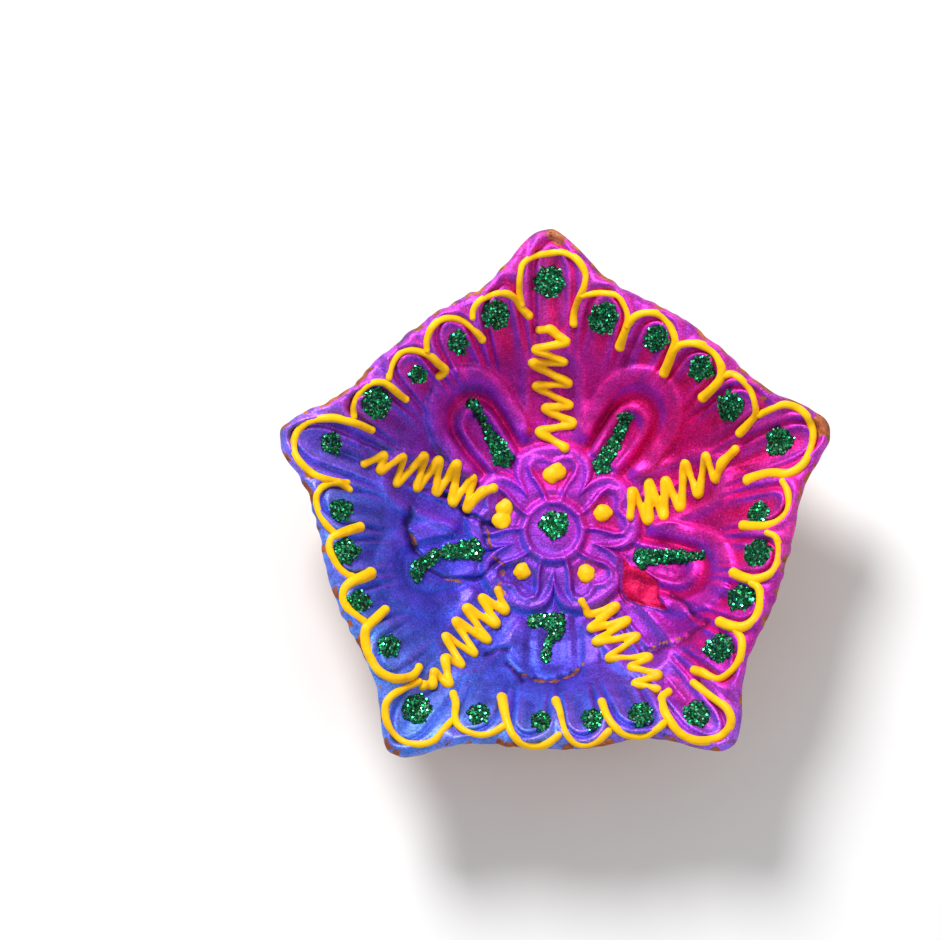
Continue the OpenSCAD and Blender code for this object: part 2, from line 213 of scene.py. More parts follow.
def hearts(angle, r):
    """Five outlined hearts on the flower, one towards each corner."""
    along, across = along_and_across(angle, r, CORNER_STEP)
    across = np.abs(across)
    distance = distance_to_path(along, across, HEART)
    dip = smooth_step((r - 4.4) / 1.2) * smooth_step((7.6 - along) / 0.8)
    dip = dip * smooth_step((0.5 * along - across - 0.9) / 0.6)
    return np.where(r < 11, 0.55 * ridge(distance, 0.32) - 0.35 * dip, 0)


def boss(r):
    """The ring at the middle and the low dome in it."""
    ring = 0.85 * ridge(r - 3.3, 0.42)
    dome = 0.50 * np.clip(1 - (r / 2.7) ** 2, 0, 1)
    moat = -0.22 * ridge(r - 4.15, 0.35)
    return ring + dome + moat


def horseshoe(along, across, foot, top, half_width, thickness):
    """Distance from the middle line of a horseshoe that opens towards the axis."""
    centre = top - half_width
    arch = np.abs(np.hypot(along - centre, across) - half_width)
    leg = np.abs(np.abs(across) - half_width)
    end = np.hypot(np.abs(across) - half_width, along - foot - thickness)
    below = along < foot + thickness
    return np.where(along > centre, arch, np.where(below, end, leg))


def petals(angle, r):
    """Horseshoe petals: a big one between two corners, and a slimmer one towards each corner."""
    half = CORNER_STEP / 2
    which = np.floor((angle % 360) / CORNER_STEP).astype(int) % len(PETAL_STRENGTH)
    strength = np.array(PETAL_STRENGTH)[which]
    along, across = along_and_across(angle - half, r, CORNER_STEP)
    waist = 1 - 0.12 * smooth_step((13.5 - along) / 3.5)
    outer = horseshoe(along, across / waist, 10.6, 20.1, 4.3, 1.0)
    inner = horseshoe(along, across / waist, 9.6, 16.6, 1.8, 0.4)
    big = 1.0 * np.exp(-np.abs(outer / 0.95) ** 3) + 0.55 * ridge(inner, 0.6)
    big -= 0.40 * ridge(horseshoe(along, across / waist, 9.8, 18.1, 2.8, 0.6), 0.45)
    big += 0.18 * ridge(outer - 0.75, 0.22) + 0.12 * ridge(inner - 0.15, 0.2)
    along, across = along_and_across(angle, r, CORNER_STEP)
    slim_line = horseshoe(along, across, 10.6, 20.2, 3.1, 0.7)
    stem = np.abs(np.abs(across) - 0.6)
    stem_fade = smooth_step((along - 10.3) / 0.8) * (1 - smooth_step((along - 16.5) / 2))
    slim = 0.62 * ridge(slim_line, 0.7) + 0.32 * ridge(stem, 0.3) * stem_fade
    return big * strength * (1 - 0.3 * slim) + slim


# Where a niche's round end has its centre on a side
NICHE_CENTRE = 23.4


def niches(angle, r, u):
    """Scallop niches round the rim, with flutes between them that run down into the bowl."""
    across = along_and_across(angle, u, NICHE_STEP)[1]
    reach = np.hypot(across, np.clip(u - NICHE_CENTRE, 0, None))
    fade = smooth_step((u - 18.0) / 3.6) * (1 - smooth_step((u - 26.0) / 0.7))
    shape = 0.60 * ridge(reach - 2.65, 0.42) - 0.50 * ridge(reach - 2.0, 0.32)
    shape += 0.42 * ridge(reach - 1.45, 0.26) - 0.30 * smooth_step(1 - reach / 1.3)
    corner = np.abs(wrap(angle, CORNER_STEP)) < NICHE_STEP / 2
    along, across = along_and_across(angle, r, CORNER_STEP)
    vee = distance_to_path(along, np.abs(across), CORNER_V)
    shape = np.where(corner, shape - 0.3 * ridge(vee, 0.26), shape)
    return shape * fade


# Cracks and tears in the clay: width, depth, and the places that each runs through
CRACKS = [
    (0.35, 0.55, [(-16.3, 2.4), (-16.9, 0.3), (-16.3, -1.8), (-15.2, -3.2)]),
    (0.30, 0.45, [(-13.8, 4.6), (-11.8, 3.6), (-9.4, 1.6), (-6.6, 0.6)]),
    (0.25, 0.40, [(-8.4, 1.2), (-8.0, -1.6), (-7.4, -2.2)]),
    (0.22, 0.35, [(-14.6, -4.4), (-11.6, -5.6), (-8.2, -5.4), (-6.4, -3.4)]),
    (0.30, 0.50, [(-7.6, -14.4), (-6.2, -13.6), (-5.2, -13.9)]),
    (0.32, 0.55, [(-5.4, -15.6), (-4.6, -16.2), (-3.4, -17.6)]),
    (0.25, 0.40, [(-5.0, -16.0), (-2.6, -17.4), (0.4, -17.6), (3.0, -16.0)]),
    (0.30, 0.50, [(13.6, -7.6), (15.0, -8.8), (15.8, -10.2)]),
    (0.30, 0.45, [(10.2, -14.4), (12.6, -14.0), (15.2, -13.2), (17.6, -11.2)]),
    (0.22, 0.30, [(7.5, -3.4), (7.5, -6.9), (8.4, -8.3), (10.4, -9.0), (13.4, -9.6)]),
]
# A flake of clay that lifted off the right petal
FLAKE = [
    (8.0, -3.2), (7.8, -5.2), (7.9, -6.9), (8.6, -8.0), (10.3, -8.7), (12.7, -9.3), (12.0, -7.7),
    (12.0, -5.9), (10.3, -4.5), (8.8, -4.0), (8.0, -3.2),
]


def cracks(x, y):
    jog_x = x + 0.25 * value_noise(x, y, 0.9, 31)
    jog_y = y + 0.25 * value_noise(x, y, 0.9, 32)
    depth = np.zeros_like(x)
    for width, amount, path in CRACKS:
        depth = np.maximum(depth, amount * ridge(distance_to_path(jog_x, jog_y, path), width))
    return depth


def pressed_relief(angle, r, u):
    """Everything that the mould pressed into the clay, before wear."""
    return boss(r) + hearts(angle, r) + rosette(angle, r) + petals(angle, r) + niches(angle, r, u)


def streak(angle, r):
    """Brush and drag marks that run in towards the middle, from -1 to 1."""
    step = 360 / NOISE_CELLS
    marks = value_noise(angle, r * 0.35, step, 81) + 0.6 * value_noise(angle, r * 0.30, step / 2, 82)
    return marks / 1.2 * (0.12 + 0.88 * smooth_step((r - 17.5) / 4))


# Where a thumb flattened the pattern: x, y, and how far round it
RUBBED = (-14.0, -17.0, 12.0)


def hand_wear(x, y):
    """How much of the pressed pattern is left: the mould never fills evenly."""
    rubbed = ridge(np.hypot(x - RUBBED[0], y - RUBBED[1]), RUBBED[2])
    return (0.9 + 0.22 * value_noise(x, y, 7.0, 21)) * (1 - 0.5 * rubbed)


def bowl_z(x, y):
    """Height of the dish's inside, and how far it stands above its own smooth bowl."""
    angle, r = bearing(x, y), np.hypot(x, y)
    edge = outline_r(angle)
    u = side_r(r, edge)
    smooth = FLOOR_Z + (CREST_Z - FLOOR_Z) * np.interp(u, PROFILE_U, PROFILE_SHARE)
    spout = 0.9 * ridge(wrap(angle, CORNER_STEP), 7) * smooth_step((u - 19) / 5)
    wobble = 0.16 * value_noise(x, y, 5.0, 22) + 0.05 * value_noise(x, y, 1.6, 23)
    wobble += 0.20 * rim_wrinkle(angle) * value_noise(x, y, 0.9, 24) * smooth_step((u - 25.0) / 1.2)
    wobble += 0.06 * streak(angle, r)
    left = 1 - 0.8 * inside_polygon(x, y, FLAKE)
    relief = pressed_relief(angle, r, u) * hand_wear(x, y) * left - cracks(x, y)
    return smooth - spout + wobble + relief, relief


# Relief slopes that face this way from the axis are painted bluer, and slopes that face the other way
# pinker: painted light and shade, standing in for the pearl paint's colour shift
BLUE_SHADE_FACING = (-0.6, -0.8)
# How far apart two places are where the relief's slope is read
LEAN_STEP = 0.12


def facing_painted_shade(x, y):
    """How far the relief's slope faces the way that gets the painted blue shade, from -1 to 1."""
    here = bowl_z(x, y)[1]
    lean_x = (bowl_z(x + LEAN_STEP, y)[1] - here) / LEAN_STEP
    lean_y = (bowl_z(x, y + LEAN_STEP)[1] - here) / LEAN_STEP
    return np.clip(-(lean_x * BLUE_SHADE_FACING[0] + lean_y * BLUE_SHADE_FACING[1]) / 0.8, -1, 1)


# ---- The dish's mesh ----

# Which side of the dish a point of its mesh is on
INSIDE, WALL, BASE = 0.0, 1.0, 2.0
STEPS = 720
INSIDE_RINGS = 110
WALL_RINGS = 22
BASE_RINGS = [0.97, 0.8, 0.5, 0.25]


def ring_shares():
    """Rings from the axis to the rim, closest where the pattern is finest."""
    places = np.array([0, 2.4, 3.0, 11.5, 20.5, RIM_R])
    density = np.array([0.5, 0.7, 1.25, 1.0, 1.0, 1.25])
    fine = np.linspace(0, RIM_R, 2000)
    total = np.cumsum(np.interp(fine, places, density))
    total = (total - total[0]) / (total[-1] - total[0])
    return np.interp(np.linspace(0, 1, INSIDE_RINGS + 1)[1:], total, fine) / RIM_R


def dish_rings():
    """Grids of x, y, z, relief and side: a row for each ring, from the middle out and under."""
    angle = np.arange(STEPS) * 360 / STEPS
    sin, cos = np.sin(np.radians(angle)), np.cos(np.radians(angle))
    edge = outline_r(angle)
    rows = []
    for share in ring_shares():
        spread = smooth_step((share * RIM_R - 12) / (RIM_R - 12))
        r = share * (RIM_R + (edge - RIM_R) * spread)
        z, relief = bowl_z(r * sin, r * cos)
        rows.append((r * sin, r * cos, z, relief, np.full(STEPS, INSIDE)))
    lip_z = rows[-1][2]
    for i in range(1, WALL_RINGS + 1):
        place = i / WALL_RINGS * (len(WALL_Z) - 1)
        share = np.interp(place, range(len(WALL_Z)), WALL_SHARE)
        height = np.interp(place, range(len(WALL_Z)), WALL_Z)
        r = BASE_R + (edge - BASE_R) * share
        z = height + (lip_z - WALL_Z[0]) * smooth_step((height - 11) / 5)
        x, y = r * sin + 0.7 * z, r * cos - 0.7 * z
        rough = 0.20 * value_noise(x, y, 2.6, 41) + 0.10 * value_noise(x, y, 1.1, 42)
        dents = 0.40 * value_noise(x, y, 7.5, 43) * smooth_step((14.5 - height) / 4)
        r = r + (rough + dents) * smooth_step((16.0 - height) / 1.5) * smooth_step(height / 1.5)
        z = np.maximum(z, 0)
        rows.append((r * sin, r * cos, z, rough, np.full(STEPS, WALL)))
    foot_r = BASE_R + (edge - BASE_R) * WALL_SHARE[-1]
    for share in BASE_RINGS:
        r = foot_r * share
        rows.append((r * sin, r * cos, np.zeros(STEPS), np.zeros(STEPS), np.full(STEPS, BASE)))
    return [np.array(column) for column in zip(*rows)]


def ring_faces(rings):
    """Quads between rings, and a fan of triangles at each end."""
    step = np.arange(STEPS)
    after = (step + 1) % STEPS
    quads = []
    for ring in range(rings - 1):
        a, b = ring * STEPS, (ring + 1) * STEPS
        quads += np.stack([a + step, a + after, b + after, b + step], 1).tolist()
    top, bottom = rings * STEPS, rings * STEPS + 1
    last = (rings - 1) * STEPS
    quads += [[top, i, j] for i, j in zip(after.tolist(), step.tolist())]
    quads += [[bottom, last + i, last + j] for i, j in zip(step.tolist(), after.tolist())]
    return quads


def add_to_scene(name, data):
    made = bpy.data.objects.new(name, data)
    bpy.context.scene.collection.objects.link(made)
    return made


def make_object(name, points, faces):
    """A smooth mesh object from points in millimetres."""
    mesh = bpy.data.meshes.new(name)
    mesh.from_pydata((np.asarray(points) * MM).tolist(), [], faces)
    mesh.polygons.foreach_set("use_smooth", [True] * len(mesh.polygons))
    mesh.update()
    return add_to_scene(name, mesh)


def set_attribute(made, name, values):
    values = np.asarray(values, np.float32)
    if values.ndim == 2:
        layer = made.data.attributes.new(name, "FLOAT_COLOR", "POINT")
        colours = np.ones((len(values), 4), np.float32)
        colours[:, :3] = values
        layer.data.foreach_set("color", colours.ravel())
    else:
        layer = made.data.attributes.new(name, "FLOAT", "POINT")
        layer.data.foreach_set("value", values)


# ---- Where each paint lies ----

# Paint colours on the inside: direction, distance from the axis, screen colour
PAINTS = [
    (0, 0, (146, 40, 165)), (36, 7, (165, 48, 172)), (108, 7, (138, 38, 150)),
    (150, 7, (104, 44, 150)), (216, 7, (96, 56, 170)), (270, 7, (108, 58, 180)), (324, 7, (158, 48, 184)),
    (270, 13, (60, 60, 192)), (240, 13, (56, 64, 190)),
    (0, 15, (160, 18, 120)), (0, 21, (176, 40, 150)), (0, 28, (190, 60, 160)),
    (36, 14, (198, 10, 104)), (45, 19, (206, 6, 88)), (30, 25, (178, 50, 165)), (50, 26, (178, 52, 160)),
    (72, 17, (168, 10, 92)), (72, 22, (165, 30, 120)), (72, 29, (178, 52, 166)),
    (92, 22, (172, 20, 110)), (105, 15, (165, 14, 112)), (95, 26, (184, 58, 152)),
    (112, 23, (168, 35, 150)),
    (128, 18, (120, 18, 126)), (132, 26, (168, 44, 160)), (122, 13, (140, 20, 126)),
    (144, 13, (105, 36, 150)), (144, 21, (130, 50, 170)), (144, 29, (146, 84, 206)),
    (162, 17, (78, 56, 165)), (165, 25, (112, 96, 205)), (180, 12, (78, 52, 160)), (180, 17, (62, 70, 190)),
    (180, 26, (104, 126, 208)), (200, 19, (66, 80, 196)), (200, 26, (98, 134, 224)),
    (216, 16, (60, 58, 172)), (216, 23, (82, 116, 216)), (216, 29, (92, 134, 228)),
    (238, 18, (64, 78, 190)), (238, 25, (92, 138, 228)), (252, 12, (62, 58, 176)), (252, 18, (58, 62, 176)),
    (262, 22, (76, 98, 208)), (262, 26, (96, 130, 220)), (278, 19, (68, 70, 200)),
    (276, 26, (104, 116, 216)),
    (288, 28, (138, 96, 212)), (290, 15, (98, 34, 150)), (300, 21, (112, 50, 170)),
    (305, 26, (158, 76, 200)), (322, 15, (142, 18, 132)), (324, 21, (140, 42, 166)),
    (325, 26, (172, 66, 186)),
    (345, 19, (156, 30, 140)), (345, 26, (180, 62, 172)),
]
PAINT_SPREAD = 3.2
# The paint's metallic part gives back less light than a matt coat of the same colour
PIGMENT_GAIN = 1.25


def paint_colour(x, y):
    """Linear colour of the paint, blended between the places above with ragged borders."""
    wx = x + 1.3 * layered_noise(x, y, 3.5, 51)
    wy = y + 1.3 * layered_noise(x, y, 3.5, 55)
    total, weight = np.zeros(x.shape + (3,)), np.zeros(x.shape)
    for direction, reach, colour in PAINTS:
        px, py = place_at(direction, reach)
        square = (wx - px) ** 2 + (wy - py) ** 2
        w = np.exp(-square / (2 * PAINT_SPREAD ** 2)) + 1e-6
        total += w[..., None] * linear(colour)
        weight += w
    return total / weight[..., None]


# Bare patches on the rim: direction, distance from the axis, radius, strength
BARE_PATCHES = [
    (71.0, 32.4, 1.9, 1.6), (0.8, 32.9, 1.5, 1.2), (118.0, 27.3, 0.8, 0.8), (236.0, 27.0, 0.7, 0.8),
    (280.0, 28.2, 0.8, 0.8), (222.0, 32.0, 0.8, 0.6), (330.0, 27.2, 0.7, 0.6), (60.0, 27.4, 0.5, 0.6),
    (262.0, 22.4, 0.4, 0.55), (226.0, 22.6, 0.3, 0.5),
]
# Scratches through the paint: width and the places that each runs through
SCRATCHES = [
    (0.16, [(-7.9, 1.0), (-7.3, -1.4), (-7.0, -3.0), (-5.6, -4.0)]),
    (0.22, [(-16.4, -0.6), (-16.0, -1.6)]),
    (0.16, [(-5.8, -4.6), (-6.2, -6.4), (-5.6, -7.4)]),
    (0.20, [(-4.8, -16.3), (-2.4, -17.6), (0.2, -17.8), (2.2, -16.8), (3.4, -15.6)]),
    (0.18, [(10.6, -14.2), (12.0, -13.5), (14.2, -13.0)]),
    (0.10, [(-13.0, -5.6), (-10.6, -5.9)]),
]
# Runs of paint down the outside: direction, height of the lower end, half-width
DRIPS = [
    (22, 11.6, 0.5), (61, 9.2, 0.55), (98, 12.2, 0.4), (151, 10.4, 0.5), (158, 12.4, 0.35),
    (203, 8.4, 0.6), (246, 11.2, 0.45), (301, 9.8, 0.5), (333, 12.0, 0.4),
]


def drips(x, y, z):
    """How much of a run of paint there is at each place on the outside."""
    angle, r = bearing(x, y), np.hypot(x, y)
    total = np.zeros_like(x)
    for direction, low, half_width in DRIPS:
        across = np.radians(wrap(angle - direction, 360)) * r
        across = across + 0.3 * value_noise(z, z * 0, 2.0, direction)
        d = np.hypot(across, np.minimum(z - low, 0))
        run = smooth_step((half_width - d) / 0.3 + 0.5) * smooth_step(z - low + 1)
        total = np.maximum(total, run)
    return total


def near_rim(x, y):
    """1 at the rim's edge, fading out just inside it."""
    gap = outline_r(bearing(x, y)) - np.hypot(x, y)
    return smooth_step((0.8 - gap) / 0.6)


def bare_share(x, y):
    """How much of the terracotta shows through the paint on the inside."""
    total = np.zeros_like(x)
    ragged = 0.8 * layered_noise(x, y, 0.9, 61)
    for direction, reach, radius, strength in BARE_PATCHES:
        px, py = place_at(direction, reach)
        d = np.hypot(x - px, y - py) / radius
        total = np.maximum(total, strength * smooth_step(1.35 - d + ragged))
    for width, path in SCRATCHES:
        d = distance_to_path(x, y, path) + 0.18 * value_noise(x, y, 0.8, 64)
        total = np.maximum(total, 0.85 * ridge(d, width))
    flecks = smooth_step((layered_noise(x, y, 1.2, 67) - 0.02) / 0.3)
    total = np.maximum(total, flecks * near_rim(x, y))
    return np.clip(total, 0, 1)


def towards(colour, other, share):
    """Colours moved towards others by a share at each place."""
    return colour + (other - colour) * share[:, None]


def by_warmth(warm, on_warm, on_cool):
    """One screen colour where the paint is warm, and another where it is cool."""
    return warm[:, None] * linear(on_warm) + (1 - warm[:, None]) * linear(on_cool)


def dish_pigment(x, y, relief, crest, inside):
    """The paint's colour at each point, with its brush marks, painted light and shade by slope, painted
    shade in the grooves and painted highlights on the crests.
    """
    colour = paint_colour(x, y)
    warm = smooth_step((colour[:, 0] - colour[:, 2] * 0.32) / 0.2)
    blue = by_warmth(warm, (104, 52, 206), (52, 108, 228))
    pink = by_warmth(warm, (222, 24, 140), (112, 44, 186))
    # Painted light and shade: slopes facing one way are tinted blue, slopes facing the other way pink
    lean = facing_painted_shade(x, y) * inside
    colour = towards(colour, blue, 0.55 * np.clip(lean, 0, 1))
    colour = towards(colour, pink, 0.40 * np.clip(-lean, 0, 1))
    marks = streak(bearing(x, y), np.hypot(x, y)) * inside
    colour = towards(colour, blue, 0.26 * smooth_step((marks - 0.15) / 0.5))
    colour = towards(colour, pink, 0.24 * smooth_step((-marks - 0.15) / 0.5))
    colour = colour * (1 - 0.12 * marks)[:, None]
    # Painted shade: the grooves are darkened towards deep crimson where the paint is warm and dark blue
    # where it is cool
    groove = smooth_step(-relief / 0.22) * inside
    colour = towards(colour, by_warmth(warm, (205, 8, 72), (44, 36, 150)), 0.58 * groove)
    # Painted highlight: the crests are paled towards lavender
    pale = colour * 1.1 + linear((160, 80, 205)) * 0.35
    colour = towards(colour, pale, 0.42 * crest)
    flake = inside_polygon(x + 0.3 * value_noise(x, y, 1.0, 66), y, FLAKE) & inside
    return np.where(flake[:, None], linear((160, 8, 62)), colour)


def dish_wear(x, y, z, inside):
    """Where the terracotta is bare, and where it is cracked or darker in flecks along the rim."""
    inner = bare_share(x, y)
    painted_to = 14.9 + 1.3 * layered_noise(x, y, 4.0, 71) + 0.5 * value_noise(x, y, 0.9, 74)
    outer = smooth_step((painted_to - z) / 0.7 + 0.5) * (1 - drips(x, y, z))
    bare = np.where(inside, inner, np.maximum(outer, inner))
    flecks = smooth_step((layered_noise(x, y, 1.1, 69) - 0.05) / 0.3) * near_rim(x, y)
    rim_dark = 0.4 * flecks * rim_wrinkle(bearing(x, y)) * (z > 14)
    return bare, np.where(inside, np.maximum(cracks(x, y), rim_dark), rim_dark)


def build_dish():
    grids = dish_rings()
    # The last two points close the mesh: the middle of the inside, and of the base
    middle_z = bowl_z(np.zeros(1), np.zeros(1))[0][0]
    ends = [(0, 0), (0, 0), (middle_z, 0), (0.3, 0), (INSIDE, BASE)]
    x, y, z, relief, side = [np.concatenate([g.ravel(), e]) for g, e in zip(grids, ends)]
    dish = make_object("dish", np.stack([x, y, z], 1), ring_faces(len(grids[0])))
    dish.data.flip_normals()
    inside = side == INSIDE
    crest = smooth_step((relief - 0.12) / 0.4) * inside
    pigment = dish_pigment(x, y, relief, crest, inside)
    bare, crack = dish_wear(x, y, z, inside)
    set_attribute(dish, "pigment", np.clip(pigment * PIGMENT_GAIN, 0, 1))
    set_attribute(dish, "bare", bare)
    set_attribute(dish, "crack", np.clip(crack / 0.5, 0, 1))
    set_attribute(dish, "crest", crest)
    finish_piece(dish, "clay_body", "painted_clay", clay_material())


# ---- Node helpers ----

def new_material(name):
    """A material, its node tree, its shader and its object coordinates."""
    material = bpy.data.materials.new(name)
    material.use_nodes = True
    tree = material.node_tree
    coords = tree.nodes.new("ShaderNodeTexCoord").outputs["Object"]
    return material, tree, tree.nodes["Principled BSDF"], coords


def plug(tree, socket, value):
    """Joins a socket to another one, or gives it a number or a colour."""
    if isinstance(value, bpy.types.NodeSocket):
        tree.links.new(value, socket)
    elif isinstance(value, (int, float)):
        socket.default_value = value
    else:
        socket.default_value = (*value, 1)


def dress(tree, shader, colour, roughness, normal):
    plug(tree, shader.inputs["Base Color"], colour)
    plug(tree, shader.inputs["Roughness"], roughness)
    plug(tree, shader.inputs["Normal"], normal)


def add_noise(tree, coords, scale, detail=3.0, roughness=0.55):
    node = tree.nodes.new("ShaderNodeTexNoise")
    node.inputs["Scale"].default_value = scale
    node.inputs["Detail"].default_value = detail
    node.inputs["Roughness"].default_value = roughness
    tree.links.new(coords, node.inputs["Vector"])
    return node.outputs["Fac"]


def add_ramp(tree, value, stops):
    node = tree.nodes.new("ShaderNodeValToRGB")
    ramp = node.color_ramp
    while len(ramp.elements) < len(stops):
        ramp.elements.new(0.5)
    for element, (place, colour) in zip(ramp.elements, stops):
        element.position = place
        element.color = (*colour, 1)
    tree.links.new(value, node.inputs["Fac"])
    return node.outputs["Color"]


def grey(*stops):
    return [(place, (v, v, v)) for place, v in stops]


def add_mix(tree, factor, first, second, blend="MIX"):
    node = tree.nodes.new("ShaderNodeMix")
    node.data_type = "RGBA"
    node.blend_type = blend
    sockets = [s for s in node.inputs if s.enabled]
    for socket, value in zip(sockets, (factor, first, second)):
        plug(tree, socket, value)
    return [s for s in node.outputs if s.enabled][0]


def tinted(tree, colour, by):
    return add_mix(tree, 1.0, colour, by, "MULTIPLY")


def add_math(tree, operation, first, second):
    node = tree.nodes.new("ShaderNodeMath")
    node.operation = operation
    for socket, value in zip(node.inputs, (first, second)):
        plug(tree, socket, value)
    return node.outputs[0]


def times(tree, first, second):
    return add_math(tree, "MULTIPLY", first, second)


def add_attribute(tree, name, output="Fac"):
    node = tree.nodes.new("ShaderNodeAttribute")
    node.attribute_name = name
    return node.outputs[output]


def add_bump(tree, height, strength, distance, before=None):
    node = tree.nodes.new("ShaderNodeBump")
    node.inputs["Strength"].default_value = strength
    node.inputs["Distance"].default_value = distance
    tree.links.new(height, node.inputs["Height"])
    if before is not None:
        tree.links.new(before, node.inputs["Normal"])
    return node.outputs["Normal"]


# ---- Materials ----

def pearl_paint(tree, coords, cloud):
    """The painted colour, clouded and speckled, with violet glints."""
    tone = add_ramp(tree, cloud, grey((0.3, 0.72), (0.7, 1.22)))
    paint = tinted(tree, add_attribute(tree, "pigment", "Color"), tone)
    speck = add_noise(tree, coords, 4600, 2.0, 0.7)
    mottle = add_ramp(tree, speck, grey((0.36, 0.70), (0.5, 1.0), (0.66, 1.45)))
    glint = add_ramp(tree, speck, grey((0.66, 0.0), (0.8, 1.0)))
    return add_mix(tree, times(tree, glint, 0.35), tinted(tree, paint, mottle), (0.85, 0.40, 0.95))


def wiped_noise(tree, coords):
    """Noise drawn out level round the dish, as a wiping hand leaves it."""
    flat = tree.nodes.new("ShaderNodeVectorMath")
    flat.operation = "MULTIPLY"
    tree.links.new(coords, flat.inputs[0])
    flat.inputs[1].default_value = (0.12, 0.12, 1.0)
    return add_noise(tree, flat.outputs["Vector"], 1500, 3.0, 0.6)


def terracotta(tree, coords, grain, wiped, pits):
    """Fired clay: grainy and patchy, wiped by hand, dusty and pitted."""
    clay = add_ramp(tree, grain, [
        (0.30, (0.24, 0.060, 0.022)), (0.52, (0.46, 0.130, 0.048)), (0.75, (0.60, 0.22, 0.10))])
    patch = add_noise(tree, coords, 110, 5.0, 0.6)
    clay = tinted(tree, clay, add_ramp(tree, patch, [
        (0.32, (0.62, 0.56, 0.54)), (0.50, (1.0, 1.0, 1.0)), (0.68, (1.18, 1.22, 1.30))]))
    clay = tinted(tree, clay, add_ramp(tree, wiped, grey((0.32, 0.80), (0.62, 1.10))))
    dust = add_ramp(tree, add_noise(tree, coords, 260, 6.0, 0.7), grey((0.58, 0.0), (0.74, 0.5)))
    clay = add_mix(tree, dust, clay, (0.62, 0.36, 0.24))
    return add_mix(tree, times(tree, pits, 0.7), clay, (0.10, 0.028, 0.012))


def clay_material():
    """Pearly paint over terracotta, with the clay bare where the paint missed or wore off."""
    material, tree, shader, coords = new_material("pearl_paint_on_terracotta")
    cloud = add_noise(tree, coords, 420, 4.0)
    grain = add_noise(tree, coords, 2600, 5.0, 0.65)
    wiped = wiped_noise(tree, coords)
    pits = add_ramp(tree, add_noise(tree, coords, 1500, 2.0, 0.5), grey((0.27, 1.0), (0.33, 0.0)))
    ragged = times(tree, add_math(tree, "SUBTRACT", grain, 0.5), 1.4)
    edge = add_math(tree, "ADD", add_attribute(tree, "bare"), ragged)
    bare = add_ramp(tree, edge, grey((0.42, 0.0), (0.56, 1.0)))
    clay = terracotta(tree, coords, grain, wiped, pits)
    colour = add_mix(tree, bare, pearl_paint(tree, coords, cloud), clay)
    crack = times(tree, add_attribute(tree, "crack"), 0.75)
    colour = add_mix(tree, crack, colour, (0.020, 0.008, 0.035))
    metal = times(tree, add_math(tree, "SUBTRACT", 1.0, bare), 0.6)
    plug(tree, shader.inputs["Metallic"], metal)
    matt = add_ramp(tree, cloud, grey((0.3, 0.40), (0.7, 0.58)))
    rough = add_math(tree, "ADD", matt, times(tree, bare, 0.34))
    rough = add_math(tree, "SUBTRACT", rough, times(tree, add_attribute(tree, "crest"), 0.05))
    shader.inputs["Specular IOR Level"].default_value = 0.12
    shader.inputs["Coat Weight"].default_value = 0.03
    shader.inputs["Coat Roughness"].default_value = 0.25
    fine = add_bump(tree, grain, 0.45, 0.00014)
    mid = add_bump(tree, cloud, 0.35, 0.0005, fine)
    drag = add_math(tree, "SUBTRACT", times(tree, wiped, bare), pits)
    dress(tree, shader, colour, rough, add_bump(tree, drag, 0.5, 0.0002, mid))
    return material


def outliner_material():
    """Thick yellow outliner paint with a satin skin."""
    material, tree, shader, coords = new_material("yellow_outliner")
    cloud = add_noise(tree, coords, 500, 3.0)
    colour = add_ramp(tree, cloud, [
        (0.25, (0.80, 0.38, 0.001)), (0.45, (0.98, 0.53, 0.001)), (0.75, (1.0, 0.59, 0.003))])
    # Darker amber patches at random: painted shade on the beads
    amber_shade_noise = add_noise(tree, coords, 900, 2.0, 0.6)
    amber_shade_share = add_ramp(tree, amber_shade_noise, grey((0.70, 0.0), (0.80, 0.55)))
    colour = add_mix(tree, amber_shade_share, colour, (0.52, 0.26, 0.012))
    grain = add_noise(tree, coords, 3200, 4.0, 0.6)
    satin = add_ramp(tree, grain, grey((0.3, 0.34), (0.7, 0.50)))
    shader.inputs["Specular IOR Level"].default_value = 0.2
    shader.inputs["Subsurface Weight"].default_value = 0.08
    shader.inputs["Subsurface Radius"].default_value = (0.0008, 0.0005, 0.0001)
    fine = add_bump(tree, grain, 0.18, 0.00008)
    dress(tree, shader, colour, satin, add_bump(tree, cloud, 0.3, 0.0003, fine))
    return material


def glue_material():
    """Dark green glue that the glitter lies in."""
    material, tree, shader, coords = new_material("green_glitter_glue")
    cells = tree.nodes.new("ShaderNodeTexVoronoi")
    cells.inputs["Scale"].default_value = 5200
    tree.links.new(coords, cells.inputs["Vector"])
    shade = tree.nodes.new("ShaderNodeSeparateColor")
    tree.links.new(cells.outputs["Color"], shade.inputs["Color"])
    colour = add_ramp(tree, shade.outputs["Red"], [
        (0.0, (0.001, 0.010, 0.005)), (0.6, (0.002, 0.050, 0.020)), (1.0, (0.010, 0.16, 0.06))])
    shader.inputs["Metallic"].default_value = 0.5
    gloss = add_ramp(tree, shade.outputs["Green"], grey((0, 0.22), (1, 0.5)))
    dress(tree, shader, colour, gloss, add_bump(tree, shade.outputs["Blue"], 0.5, 0.0001))
    return material


